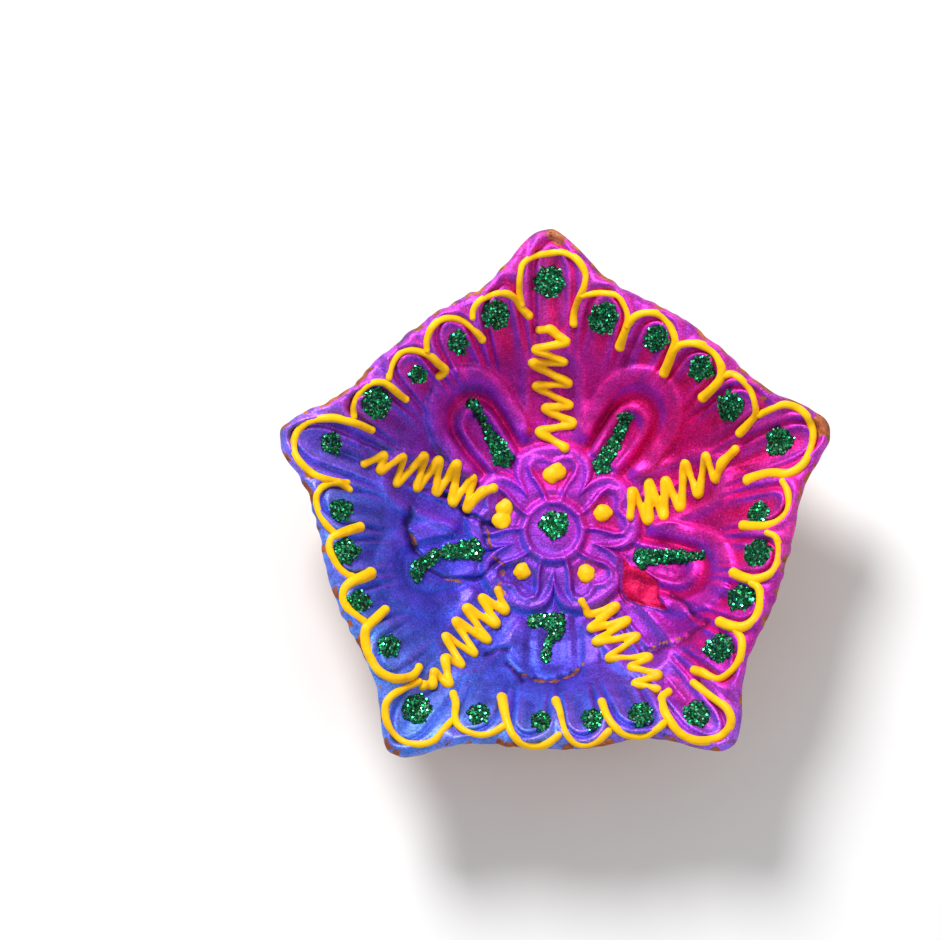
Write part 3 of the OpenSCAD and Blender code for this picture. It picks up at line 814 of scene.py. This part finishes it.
def flake_material():
    """Metallic green glitter flakes, each its own shade."""
    material, tree, shader, coords = new_material("green_glitter_flake")
    tint = add_ramp(tree, add_attribute(tree, "shade"), [
        (0.0, (0.002, 0.070, 0.020)), (0.50, (0.014, 0.38, 0.115)), (0.85, (0.05, 0.82, 0.34)),
        (1.0, (0.45, 1.0, 0.72))])
    scuff = add_noise(tree, coords, 9000, 2.0)
    tint = tinted(tree, tint, add_ramp(tree, scuff, grey((0.3, 0.8), (0.7, 1.1))))
    shader.inputs["Metallic"].default_value = 0.92
    gloss = add_ramp(tree, scuff, grey((0.3, 0.14), (0.7, 0.34)))
    dress(tree, shader, tint, gloss, add_bump(tree, scuff, 0.1, 0.00002))
    return material


def floor_material():
    """A pale studio floor, faintly uneven in tone."""
    material, tree, shader, coords = new_material("pale_floor")
    tone = add_ramp(tree, add_noise(tree, coords, 60, 3.0), grey((0.3, 0.86), (0.7, 0.88)))
    plug(tree, shader.inputs["Base Color"], tone)
    shader.inputs["Roughness"].default_value = 0.8
    return material


# ---- Routes of what is applied to the clay, as in the CAD part: [x, y] from the axis ----

# Yellow arches, clockwise from the first corner:
# [bead radius, radius at the foot, places from start to foot]
ARCHES = [
    [0.4, 0.5, [[-3.7, 24.8], [-4, 26.6], [-3.7, 28.9], [-2.5, 30], [-0.8, 30.5], [0.9, 30.6],
        [2.4, 29.8], [3.5, 28.1], [3.4, 26.6], [2.8, 25.3], [2.4, 24.2], [2.3, 22.9]]],
    [0.4, 0.55, [[3.2, 25.6], [4.5, 25.8], [5.9, 25.7], [7.2, 25.4], [8, 24.3], [8.4, 22.9], [8, 21.4],
        [7.5, 20.1]]],
    [0.4, 0.6, [[8.3, 22.1], [9.1, 23], [10.4, 23.4], [11.9, 23.2], [13.1, 22], [13.8, 20.4],
        [13.4, 19], [12.5, 17]]],
    [0.45, 0.6, [[13.5, 19.2], [14.3, 19.8], [15.6, 19.9], [16.9, 19.6], [18.2, 18.7], [18.9, 17.3],
        [18.8, 15.9], [17.9, 14.9], [16.9, 14.1]]],
    [0.4, 0.5, [[19.2, 16.3], [20.2, 16.4], [21.3, 15.6], [22.2, 14.5], [22.7, 13.1], [22.8, 12],
        [22.1, 11.1], [21.1, 10.1]]],
    [0.42, 0.65, [[23.2, 11.9], [24.5, 12.4], [26, 12.9], [27.4, 12.6], [28.6, 11.6], [29.3, 9.9],
        [29, 7.9], [28.1, 6.1], [26.5, 5.1], [24.5, 5.3], [23, 5.1], [22.1, 4.8]]],
    [0.42, 0.6, [[25.8, 4.2], [26.3, 3.3], [26.5, 2], [26.2, 0.6], [25.4, -0.3], [24.2, -0.8],
        [22.9, -0.8], [21.5, -0.5]]],
    [0.42, 0.58, [[24, -1.7], [24.9, -2.2], [25.3, -3.4], [25.2, -4.8], [24.7, -6], [23.8, -6.7],
        [22.5, -7], [21.4, -6.7], [20.3, -6]]],
    [0.5, 0.6, [[22.2, -7.4], [23, -8.1], [23.2, -9.5], [22.9, -10.9], [22.2, -11.9], [21.1, -12.5],
        [19.9, -12.3], [18.7, -11.7]]],
    [0.42, 0.5, [[20.4, -12.8], [21, -13.8], [21, -15.2], [20.6, -16.5], [19.6, -17.6], [18.5, -18.2],
        [17.5, -17.9], [16.7, -17.4], [15.8, -17]]],
    [0.48, 0.5, [[15.7, -18.4], [16.9, -19.5], [18.3, -20.6], [19.3, -21.6], [19.8, -22.8],
        [19.5, -24], [18.5, -24.8], [17, -25.3], [15.6, -25.2], [14.1, -24.5], [13, -23.2],
        [12.3, -21.9], [12.1, -20.3], [12.9, -19.4]]],
    [0.4, 0.5, [[12.3, -23.3], [11.5, -24], [10.3, -24.7], [8.8, -24.8], [7.5, -24.5], [6.3, -23.3],
        [5.7, -22.1], [5.3, -20.7]]],
    [0.42, 0.5, [[6, -24.3], [4.9, -25.3], [3.5, -25.8], [2.2, -25.6], [1.3, -24.7], [0.8, -23.3],
        [0.5, -21.8], [0.1, -20.5]]],
    [0.42, 0.6, [[0.4, -24.7], [-0.8, -25.6], [-2.1, -25.9], [-3.6, -25.7], [-4.7, -24.8],
        [-5.4, -23.3], [-5.7, -21.8], [-6, -20.1]]],
    [0.4, 0.5, [[-5.8, -23.7], [-7, -24.4], [-8.3, -24.7], [-9.8, -24.4], [-10.9, -23.6],
        [-11.3, -22.5], [-11.2, -20.9], [-11.5, -19.6]]],
    [0.4, 0.42, [[-11.7, -23], [-12.7, -24.2], [-13.7, -25.3], [-15.1, -25.7], [-16.8, -25.5],
        [-18.2, -24.5], [-19, -23], [-19.1, -21.4], [-18.5, -20.3], [-17.1, -19.3], [-15.4, -18.3]]],
    [0.52, 0.55, [[-15.4, -16.7], [-16.1, -17.7], [-17.3, -18.2], [-18.5, -18.2], [-19.8, -17.5],
        [-20.7, -16.2], [-21.3, -14.6], [-21.4, -13], [-20.9, -12.1], [-20, -11.1], [-19.2, -10.2]]],
    [0.45, 0.75, [[-21.6, -11.8], [-22.5, -11.2], [-23.3, -10.5], [-23.8, -9.6], [-23.9, -8.7],
        [-23.6, -7.9], [-22.8, -7.2], [-21.8, -6.7], [-20.9, -6.1]]],
    [0.42, 0.58, [[-22.9, -6.7], [-23.6, -6.5], [-24.5, -5.7], [-25.2, -4.4], [-25.5, -3.3],
        [-25.2, -2.4], [-24.4, -1.9], [-23.3, -1.4], [-22.1, -0.8]]],
    [0.38, 0.45, [[-24.9, -1.8], [-25.9, -0.8], [-26.7, 0.6], [-27, 2.1], [-26.6, 3.2], [-25.6, 4],
        [-24.4, 4.2], [-23.3, 3.5]]],
    [0.42, 0.48, [[-23.5, 4.3], [-24.9, 4.3], [-26.6, 4.6], [-27.9, 5.4], [-29.1, 6.7], [-29.6, 8.1],
        [-29.3, 9.7], [-28.3, 10.8], [-26.8, 11.3], [-25, 11.4], [-23.4, 11.1], [-22.1, 10.8],
        [-20.8, 10.4]]],
    [0.4, 0.48, [[-22.8, 11.7], [-22.8, 12.7], [-22.4, 13.8], [-21.6, 14.8], [-20.5, 15.4],
        [-19.3, 15.4], [-18.3, 14.8], [-17.6, 14.3], [-16.9, 13.9]]],
    [0.42, 0.5, [[-18.8, 16], [-18.6, 17.1], [-18.1, 18.2], [-17.2, 19], [-16.1, 19.2], [-14.9, 19],
        [-14, 18.6], [-13.2, 17.9], [-12.4, 17.3], [-13.1, 16.7]]],
    [0.38, 0.5, [[-14.5, 19.2], [-14.5, 20.3], [-14, 21.6], [-13, 22.6], [-11.7, 22.9], [-10.5, 22.6],
        [-9.5, 22], [-8.7, 21.3], [-8.2, 20.7]]],
    [0.38, 0.5, [[-9.3, 22.9], [-9.2, 23.8], [-8.5, 24.8], [-7.2, 25.5], [-5.9, 25.8], [-4.7, 25.5],
        [-3.8, 24.5], [-2.9, 23.7]]]
]

# Yellow zigzags: the places where each one turns
ZIGZAGS = [
    [[-1.7, 22.3], [-0.4, 22.4], [1.4, 21], [-2.1, 20.2], [1.2, 19], [-2.4, 18.8], [1.7, 16.8],
     [-2, 16.5], [1.9, 14.5], [-0.9, 14.1], [2.3, 12.4], [-1.6, 11.5], [1.3, 9.6]],
    [[8.8, 1.6], [9.1, 4.5], [10.9, 1.2], [11, 5.6], [12.7, 1.5], [12.9, 5.7], [14.6, 2.5],
     [15.1, 7.5], [16.6, 3.9], [17.4, 8], [18.5, 5.3], [19.2, 7.1], [20.7, 8.5]],
    [[3.2, -8.2], [4.1, -9.7], [7.1, -8.8], [4.2, -11.4], [8.4, -10.5], [4.8, -13], [9.5, -12.4],
     [6.3, -15], [10.7, -15.1], [8.8, -16.3], [11.8, -17.3], [9.2, -18.4], [11.6, -19.1]],
    [[-6.4, -6.9], [-5.6, -9.2], [-8.2, -7.8], [-6.7, -10.8], [-10, -9.1], [-7.6, -12.8],
     [-11.2, -10.7], [-9.1, -14.5], [-12.4, -12.7], [-10.6, -16], [-12.4, -15.4], [-12, -18.4],
     [-13.7, -17.1], [-13.9, -18.5], [-15, -18.7]],
    [[-21.7, 6.8], [-19.5, 7.9], [-19.8, 6.2], [-17.3, 7.9], [-18, 5], [-14.9, 8.2], [-15.7, 4.7],
     [-13.2, 7.9], [-13.5, 4.3], [-11.1, 7.5], [-11.6, 3.3], [-9.3, 6.1], [-9.9, 2.6], [-8.2, 4.4],
     [-6.9, 4.9]]
]

# Yellow dots on the flower's centre: [x, y, radius]
FLOWER_DOTS = [
    [[0.4, 7, 1], [-0.1, 6.6, 1.1]],
    [[5.7, 2.1, 1.1]],
    [[3.8, -4.9, 1.1]],
    [[-3.6, -4.7, 1.1]],
    [[-5.7, 2.7, 1.1], [-6, 1.2, 1.2]]
]

# Green glitter dabs, one in each niche: [x, y, radius]
RIM_DABS = [
    [-0.5, 27.5, 1.8], [5.6, 23.2, 1.8], [11.6, 20.7, 1.5], [16.7, 17.2, 1.5], [20, 13, 1.6],
    [25.6, 9, 1.6], [23.2, 0.8, 1.3], [23, -3.9, 1.6], [21.1, -9, 1.6], [18.6, -14.7, 1.7],
    [16, -22.2, 1.6], [9.6, -22.3, 1.5], [4.2, -22.8, 1.4], [-1.7, -23.1, 1.3], [-8.6, -22.2, 1.4],
    [-15.6, -21.5, 1.8], [-18.7, -14.5, 1.4], [-22.2, -9.5, 1.4], [-23.7, -3.8, 1.6], [-24.2, 1, 1.4],
    [-25.4, 8.8, 1.3], [-20.3, 13.3, 1.8], [-15.5, 16.7, 1.1], [-11, 20.3, 1.3], [-6.7, 23.5, 1.7]
]

# Green glitter strokes, one on each big petal: [x, y, radius] from end to end
PETAL_STROKES = [
    [[8.2, 12.8, 1], [7.4, 10.9, 0.8], [6.4, 9.1, 0.9], [5.6, 7.6, 1.1]],
    [[10.2, -3.2, 1.2], [11.9, -3, 1], [13.5, -3.1, 0.9], [15.2, -3.3, 0.8], [17, -3.1, 0.5]],
    [[-2.2, -10.5, 0.9], [0.6, -10.5, 0.9], [0, -12.1, 0.8], [-0.7, -13.3, 0.6], [-0.9, -14.7, 0.7]],
    [[-9.2, -2.2, 1.3], [-11.2, -2.3, 1], [-13.4, -2.8, 0.8], [-15.5, -4.6, 1], [-15.7, -5.7, 0.7]],
    [[-9.3, 14.3, 0.8], [-8.2, 12.7, 0.6], [-7.1, 10.9, 0.8], [-5.8, 8.6, 1.3]]
]
CENTRE_DAB = [0.1, 0.7, 1.7]

# ---- Soft forms poured on the clay ----


def read_vectors(items, name):
    flat = np.zeros(len(items) * 3, np.float32)
    items.foreach_get(name, flat)
    return flat.reshape(-1, 3).astype(float)


def read_points(mesh):
    """The places of a mesh's points, in its own units."""
    return read_vectors(mesh.vertices, "co")


def write_points(mesh, points):
    mesh.vertices.foreach_set("co", np.asarray(points, np.float32).ravel())
    mesh.update()


def spline(points, spacing):
    """Points at about this spacing on a smooth curve through the given ones."""
    p = np.asarray(points, float)
    p = np.vstack([2 * p[0] - p[1], p, 2 * p[-1] - p[-2]])
    out = []
    for p0, p1, p2, p3 in zip(p, p[1:], p[2:], p[3:]):
        count = max(2, int(np.hypot(*(p2 - p1)[:2]) / spacing))
        t = (np.arange(count) / count)[:, None]
        out.append(0.5 * (2 * p1 + (p2 - p0) * t + (2 * p0 - 5 * p1 + 4 * p2 - p3) * t ** 2
                          + (3 * p1 - p0 - 3 * p2 + p3) * t ** 3))
    return np.vstack(out + [p[-2:-1]])


def soft_clay_z(x, y, reach):
    """The clay's height, averaged over what paint of this half-width lies on."""
    turns = np.arange(6) * math.pi / 3
    around = [bowl_z(x + reach * math.sin(t), y + reach * math.cos(t))[0] for t in turns]
    return (bowl_z(x, y)[0] + sum(around)) / 7


def ball_template(level):
    ball = bmesh.new()
    bmesh.ops.create_icosphere(ball, subdivisions=level, radius=1)
    points = np.array([v.co[:] for v in ball.verts])
    faces = np.array([[v.index for v in f.verts] for f in ball.faces])
    ball.free()
    return points, faces


def pour(name, discs, z, flatness, voxel, passes):
    """One soft solid made of flattened balls at x, y and z, fused and relaxed; in millimetres."""
    ball, ball_faces = ball_template(2)
    radius = discs[:, 2]
    size = np.stack([radius, radius, radius * flatness], 1)
    middle = np.stack([discs[:, 0], discs[:, 1], z], 1)
    points = (middle[:, None, :] + size[:, None, :] * ball[None]).reshape(-1, 3)
    faces = (ball_faces[None] + (np.arange(len(discs)) * len(ball))[:, None, None]).reshape(-1, 3)
    made = make_object(name, points / MM, faces.tolist())
    remesh = made.modifiers.new("remesh", "REMESH")
    remesh.mode = "VOXEL"
    remesh.voxel_size = voxel
    relax = made.modifiers.new("relax", "SMOOTH")
    relax.factor = 0.5
    relax.iterations = passes
    final = bpy.data.meshes.new_from_object(made.evaluated_get(bpy.context.evaluated_depsgraph_get()))
    made.modifiers.clear()
    made.data = final
    final.name = name
    final.polygons.foreach_set("use_smooth", [True] * len(final.polygons))
    return made


def roughen(made, seed, ripple):
    """Makes a poured piece a little uneven, and brings it from millimetres to metres."""
    points = read_points(made.data)
    x, y, z = points.T
    uneven = value_noise(x, y, 1.3, seed) + 0.5 * value_noise(x + z, y - z, 0.5, seed + 1)
    normals = read_vectors(made.data.vertex_normals, "vector")
    write_points(made.data, (points + normals * (ripple * uneven)[:, None]) * MM)


def finish_piece(made, node, slot, *materials):
    for material in materials:
        made.data.materials.append(material)
    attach(made, "root")
    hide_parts(node)


BEAD_SPACING = 0.14
# A bead's height over its width, and how far its middle stands above the clay, in radii
BEAD_HEIGHT = 0.85
BEAD_LIFT = 0.2
BEAD_VOXEL = 0.1
THICKEN_FROM = 0.5
ZIGZAG_R = 0.48
ZIGZAG_SEED = 700
# Rings on either side over which a bead's height is evened out
BEAD_SETTLE = 3
# Lobes of a blob of paint, and its height over its width
DOT_LOBES = 6
BLOB_HEIGHT = 0.62
# The beads spread a little as they dried
SPREAD = 1.06


def build_bead(node, route, material, seed):
    """A piped bead along [x, y, radius] points, its thickness wavering as the hand did."""
    path = spline(route, BEAD_SPACING)
    along = np.arange(len(path)) * BEAD_SPACING
    path[:, 2] *= SPREAD * (1 + 0.10 * value_noise(along, along * 0, 1.6, seed + 2))
    z = soft_clay_z(path[:, 0], path[:, 1], 0.4)
    window = 2 * BEAD_SETTLE + 1
    smooth = np.convolve(np.pad(z, BEAD_SETTLE, mode="edge"), np.ones(window) / window, mode="valid")
    made = pour(node + "_bead", path, smooth + BEAD_LIFT * path[:, 2], BEAD_HEIGHT, BEAD_VOXEL, 3)
    roughen(made, seed, 0.03)
    finish_piece(made, node, "outliner_paint", material)


def arch_route(i):
    bead_r, foot_r, places = ARCHES[i]
    share = np.linspace(0, 1, len(places))
    radius = bead_r + (foot_r - bead_r) * smooth_step((share - THICKEN_FROM) / (1 - THICKEN_FROM))
    return np.column_stack([places, radius])


def zigzag_route(k):
    """The bead of a zigzag, fatter where the hand turned."""
    turns = np.array(ZIGZAGS[k])
    rng = np.random.default_rng(ZIGZAG_SEED + k)
    places = [np.append(turns[0], ZIGZAG_R)]
    for before, turn in zip(turns, turns[1:]):
        places.append(np.append((before + turn) / 2, ZIGZAG_R * rng.uniform(0.85, 1.0)))
        places.append(np.append(turn, ZIGZAG_R * rng.uniform(1.05, 1.3)))
    return np.array(places)


def build_dot(node, dots, material, seed):
    """A blob of paint that sank as it dried."""
    rng = np.random.default_rng(seed)
    lobes = []
    for x, y, r in dots:
        lobes.append((x, y, r * 0.9))
        for turn in rng.uniform(0, 2 * math.pi, DOT_LOBES):
            off = r * rng.uniform(0.25, 0.6)
            lobe_r = (r - off) * rng.uniform(0.95, 1.25)
            lobes.append((x + off * math.sin(turn), y + off * math.cos(turn), lobe_r))
    discs = np.array(lobes)
    z = soft_clay_z(discs[:, 0], discs[:, 1], 0.6) + 0.05
    made = pour(node + "_blob", discs, z, BLOB_HEIGHT, BEAD_VOXEL, 6)
    roughen(made, seed, 0.04)
    finish_piece(made, node, "outliner_paint", material)


# ---- Glitter ----

GLUE_VOXEL = 0.13
# The turn in radians from one daub to the next that spreads them evenly
GOLDEN_ANGLE = 2.39996
STROKE_SPACING = 0.8
DAUB_INSET = 0.25
DAUB_SPACING = 0.27
DAUB_R = (0.34, 0.52)
FLAKE_SIDES = 6
FLAKE_R = (0.08, 0.16)
FLAKE_TILT = 0.36
FLAKES_PER_MM2 = 34


def daub(discs, rng):
    """Small overlapping daubs that fill [x, y, radius] discs, with a ragged edge."""
    daubs = []
    for x, y, radius in discs:
        count = max(5, int((radius / DAUB_SPACING) ** 2))
        for i in range(count):
            reach = (radius - DAUB_INSET) * math.sqrt((i + 0.5) / count) * rng.uniform(0.95, 1.08)
            turn = i * GOLDEN_ANGLE
            daub_r = rng.uniform(*DAUB_R)
            daubs.append((x + reach * math.sin(turn), y + reach * math.cos(turn), daub_r))
    return np.array(daubs)


def scatter(mesh, count, rng):
    """Random places on the upper side of a mesh, with the face's normal at each."""
    mesh.calc_loop_triangles()
    corners = np.zeros(len(mesh.loop_triangles) * 3, np.int32)
    mesh.loop_triangles.foreach_get("vertices", corners)
    tri = (read_points(mesh) / MM)[corners.reshape(-1, 3)]
    cross = np.cross(tri[:, 1] - tri[:, 0], tri[:, 2] - tri[:, 0])
    area = np.linalg.norm(cross, axis=1)
    normal = cross / np.maximum(area, 1e-9)[:, None]
    weight = np.where(normal[:, 2] > 0.3, area, 0)
    picked = rng.choice(len(tri), count, p=weight / weight.sum())
    a, b = rng.random(count), rng.random(count)
    over = a + b > 1
    a, b = np.where(over, 1 - a, a), np.where(over, 1 - b, b)
    chosen = tri[picked]
    first, second, third = chosen[:, 0], chosen[:, 1], chosen[:, 2]
    return first + a[:, None] * (second - first) + b[:, None] * (third - first), normal[picked]


def flake_points(places, normals, rng):
    """The corners of each flake, tilted off its surface at random."""
    count = len(places)
    tilt = normals + rng.normal(0, FLAKE_TILT, (count, 3))
    tilt /= np.linalg.norm(tilt, axis=1)[:, None]
    side = np.cross(tilt, rng.normal(0, 1, (count, 3)))
    side /= np.linalg.norm(side, axis=1)[:, None]
    other = np.cross(tilt, side)
    size = rng.uniform(*FLAKE_R, count)
    turn = np.arange(FLAKE_SIDES) * math.pi / 3
    middle = places + normals * rng.uniform(0.0, 0.07, count)[:, None]
    return (middle[:, None, :] + size[:, None, None] * (
        np.cos(turn)[None, :, None] * side[:, None, :] + np.sin(turn)[None, :, None] * other[:, None, :]))


def stroke_area(discs):
    """Rough area of discs in a row, or apart."""
    total = sum(math.pi * r ** 2 for _, _, r in discs)
    for (ax, ay, ar), (bx, by, br) in zip(discs, discs[1:]):
        apart = math.hypot(bx - ax, by - ay)
        if apart < ar + br:
            total -= (ar + br - apart) * (ar + br) * 0.8
    return total


def build_dab(node, discs, materials, seed):
    """Glitter glue dabbed over the discs, with flakes lying in it, as one piece."""
    rng = np.random.default_rng(seed)
    daubs = daub(discs, rng)
    z = soft_clay_z(daubs[:, 0], daubs[:, 1], 0.35)
    made = pour(node + "_dab", daubs, z + rng.uniform(0.0, 0.06, len(z)), BLOB_HEIGHT, GLUE_VOXEL, 2)
    roughen(made, seed, 0.03)
    places, normals = scatter(made.data, int(stroke_area(discs) * FLAKES_PER_MM2), rng)
    corners = flake_points(places, normals, rng).reshape(-1, 3)
    base = read_points(made.data) / MM
    faces = [list(p.vertices) for p in made.data.polygons]
    first = len(base)
    flakes = [[first + FLAKE_SIDES * i + k for k in range(FLAKE_SIDES)] for i in range(len(places))]
    shade = np.repeat(rng.random(len(places)) ** 1.2, FLAKE_SIDES)
    name = made.name
    bpy.data.objects.remove(made)
    made = make_object(name, np.concatenate([base, corners]), faces + flakes)
    made.data.polygons.foreach_set("material_index", [0] * len(faces) + [1] * len(flakes))
    set_attribute(made, "shade", np.concatenate([np.zeros(first), shade]))
    finish_piece(made, node, "glitter_glue", *materials)


# ---- Camera, light and floor ----

CAMERA_DISTANCE = 700.0
CAMERA_ELEVATION = 82.0
VIEW_WIDTH = 106.4
AIM = (-9.6, 5.4, 17.0)
LIGHTS_AIM = (0, 0, 8)
# Half of the floor's side, in metres
FLOOR_HALF = 1.5


def build_camera():
    data = bpy.data.cameras.new("camera")
    camera = add_to_scene("camera", data)
    data.sensor_width = 36.0
    data.lens = data.sensor_width * CAMERA_DISTANCE / VIEW_WIDTH
    data.clip_start, data.clip_end = 0.01, 10.0
    tilt = math.radians(CAMERA_ELEVATION)
    back = Vector((0, -math.cos(tilt), math.sin(tilt)))
    camera.location = Vector(AIM) * MM + back * CAMERA_DISTANCE * MM
    camera.rotation_euler = (math.radians(90 - CAMERA_ELEVATION), 0, 0)
    bpy.context.scene.camera = camera


def add_area_light(name, place, size, watts):
    data = bpy.data.lights.new(name, "AREA")
    data.shape = "DISK"
    data.size = size * MM
    data.energy = watts
    light = add_to_scene(name, data)
    light.location = Vector(place) * MM
    aim = Vector(LIGHTS_AIM) * MM - light.location
    light.rotation_euler = aim.to_track_quat("-Z", "Y").to_euler()


def build_lights():
    add_area_light("key", (-130, 270, 300), 150, 2.0)
    add_area_light("fill", (240, -120, 300), 260, 0.3)
    world = bpy.data.worlds.new("studio")
    world.use_nodes = True
    world.node_tree.nodes["Background"].inputs["Color"].default_value = (1, 1, 1, 1)
    world.node_tree.nodes["Background"].inputs["Strength"].default_value = 0.42
    bpy.context.scene.world = world
    bpy.context.scene.view_settings.view_transform = "Standard"


def build_floor():
    mesh = bpy.data.meshes.new("floor")
    corners = [(x * FLOOR_HALF, y * FLOOR_HALF, 0) for x, y in ((-1, -1), (1, -1), (1, 1), (-1, 1))]
    mesh.from_pydata(corners, [], [[0, 1, 2, 3]])
    floor = add_to_scene("floor", mesh)
    floor.data.materials.append(floor_material())


# ---- The scene ----

CORNER_COUNT = 5
NICHES_PER_CORNER = 5
# Where each kind of piece starts its random numbers, and how far apart two of a kind are
ARCH_SEED, LINE_SEED, DOT_SEED = 1000, 1500, 1600
CORNER_SEED, SIDE_SEED, PETAL_SEED, CENTRE_SEED = 2000, 2100, 2200, 2300
SEED_STEP = 10


def build_paint():
    """Every yellow bead and dot, under the CAD part's names."""
    yellow = outliner_material()
    side = 0
    for i in range(len(ARCHES)):
        if i % NICHES_PER_CORNER == 0:
            node = "corner_arch_%d" % (i // NICHES_PER_CORNER + 1)
        else:
            side += 1
            node = "side_arch_%d" % side
        build_bead(node, arch_route(i), yellow, ARCH_SEED + SEED_STEP * i)
    for k in range(CORNER_COUNT):
        build_bead("zigzag_%d" % (k + 1), zigzag_route(k), yellow, LINE_SEED + SEED_STEP * k)
        build_dot("flower_dot_%d" % (k + 1), FLOWER_DOTS[k], yellow, DOT_SEED + SEED_STEP * k)


def build_glitter():
    """Every glitter dab, under the CAD part's names."""
    green = (glue_material(), flake_material())
    for k in range(CORNER_COUNT):
        corner, *side = RIM_DABS[k * NICHES_PER_CORNER:(k + 1) * NICHES_PER_CORNER]
        stroke = spline(PETAL_STROKES[k], STROKE_SPACING)
        build_dab("corner_glitter_%d" % (k + 1), [corner], green, CORNER_SEED + SEED_STEP * k)
        build_dab("side_glitter_%d" % (k + 1), side, green, SIDE_SEED + SEED_STEP * k)
        build_dab("petal_glitter_%d" % (k + 1), stroke, green, PETAL_SEED + SEED_STEP * k)
    build_dab("centre_glitter", [CENTRE_DAB], green, CENTRE_SEED)


def main():
    build_camera()
    build_lights()
    build_floor()
    build_dish()
    build_paint()
    build_glitter()


main()
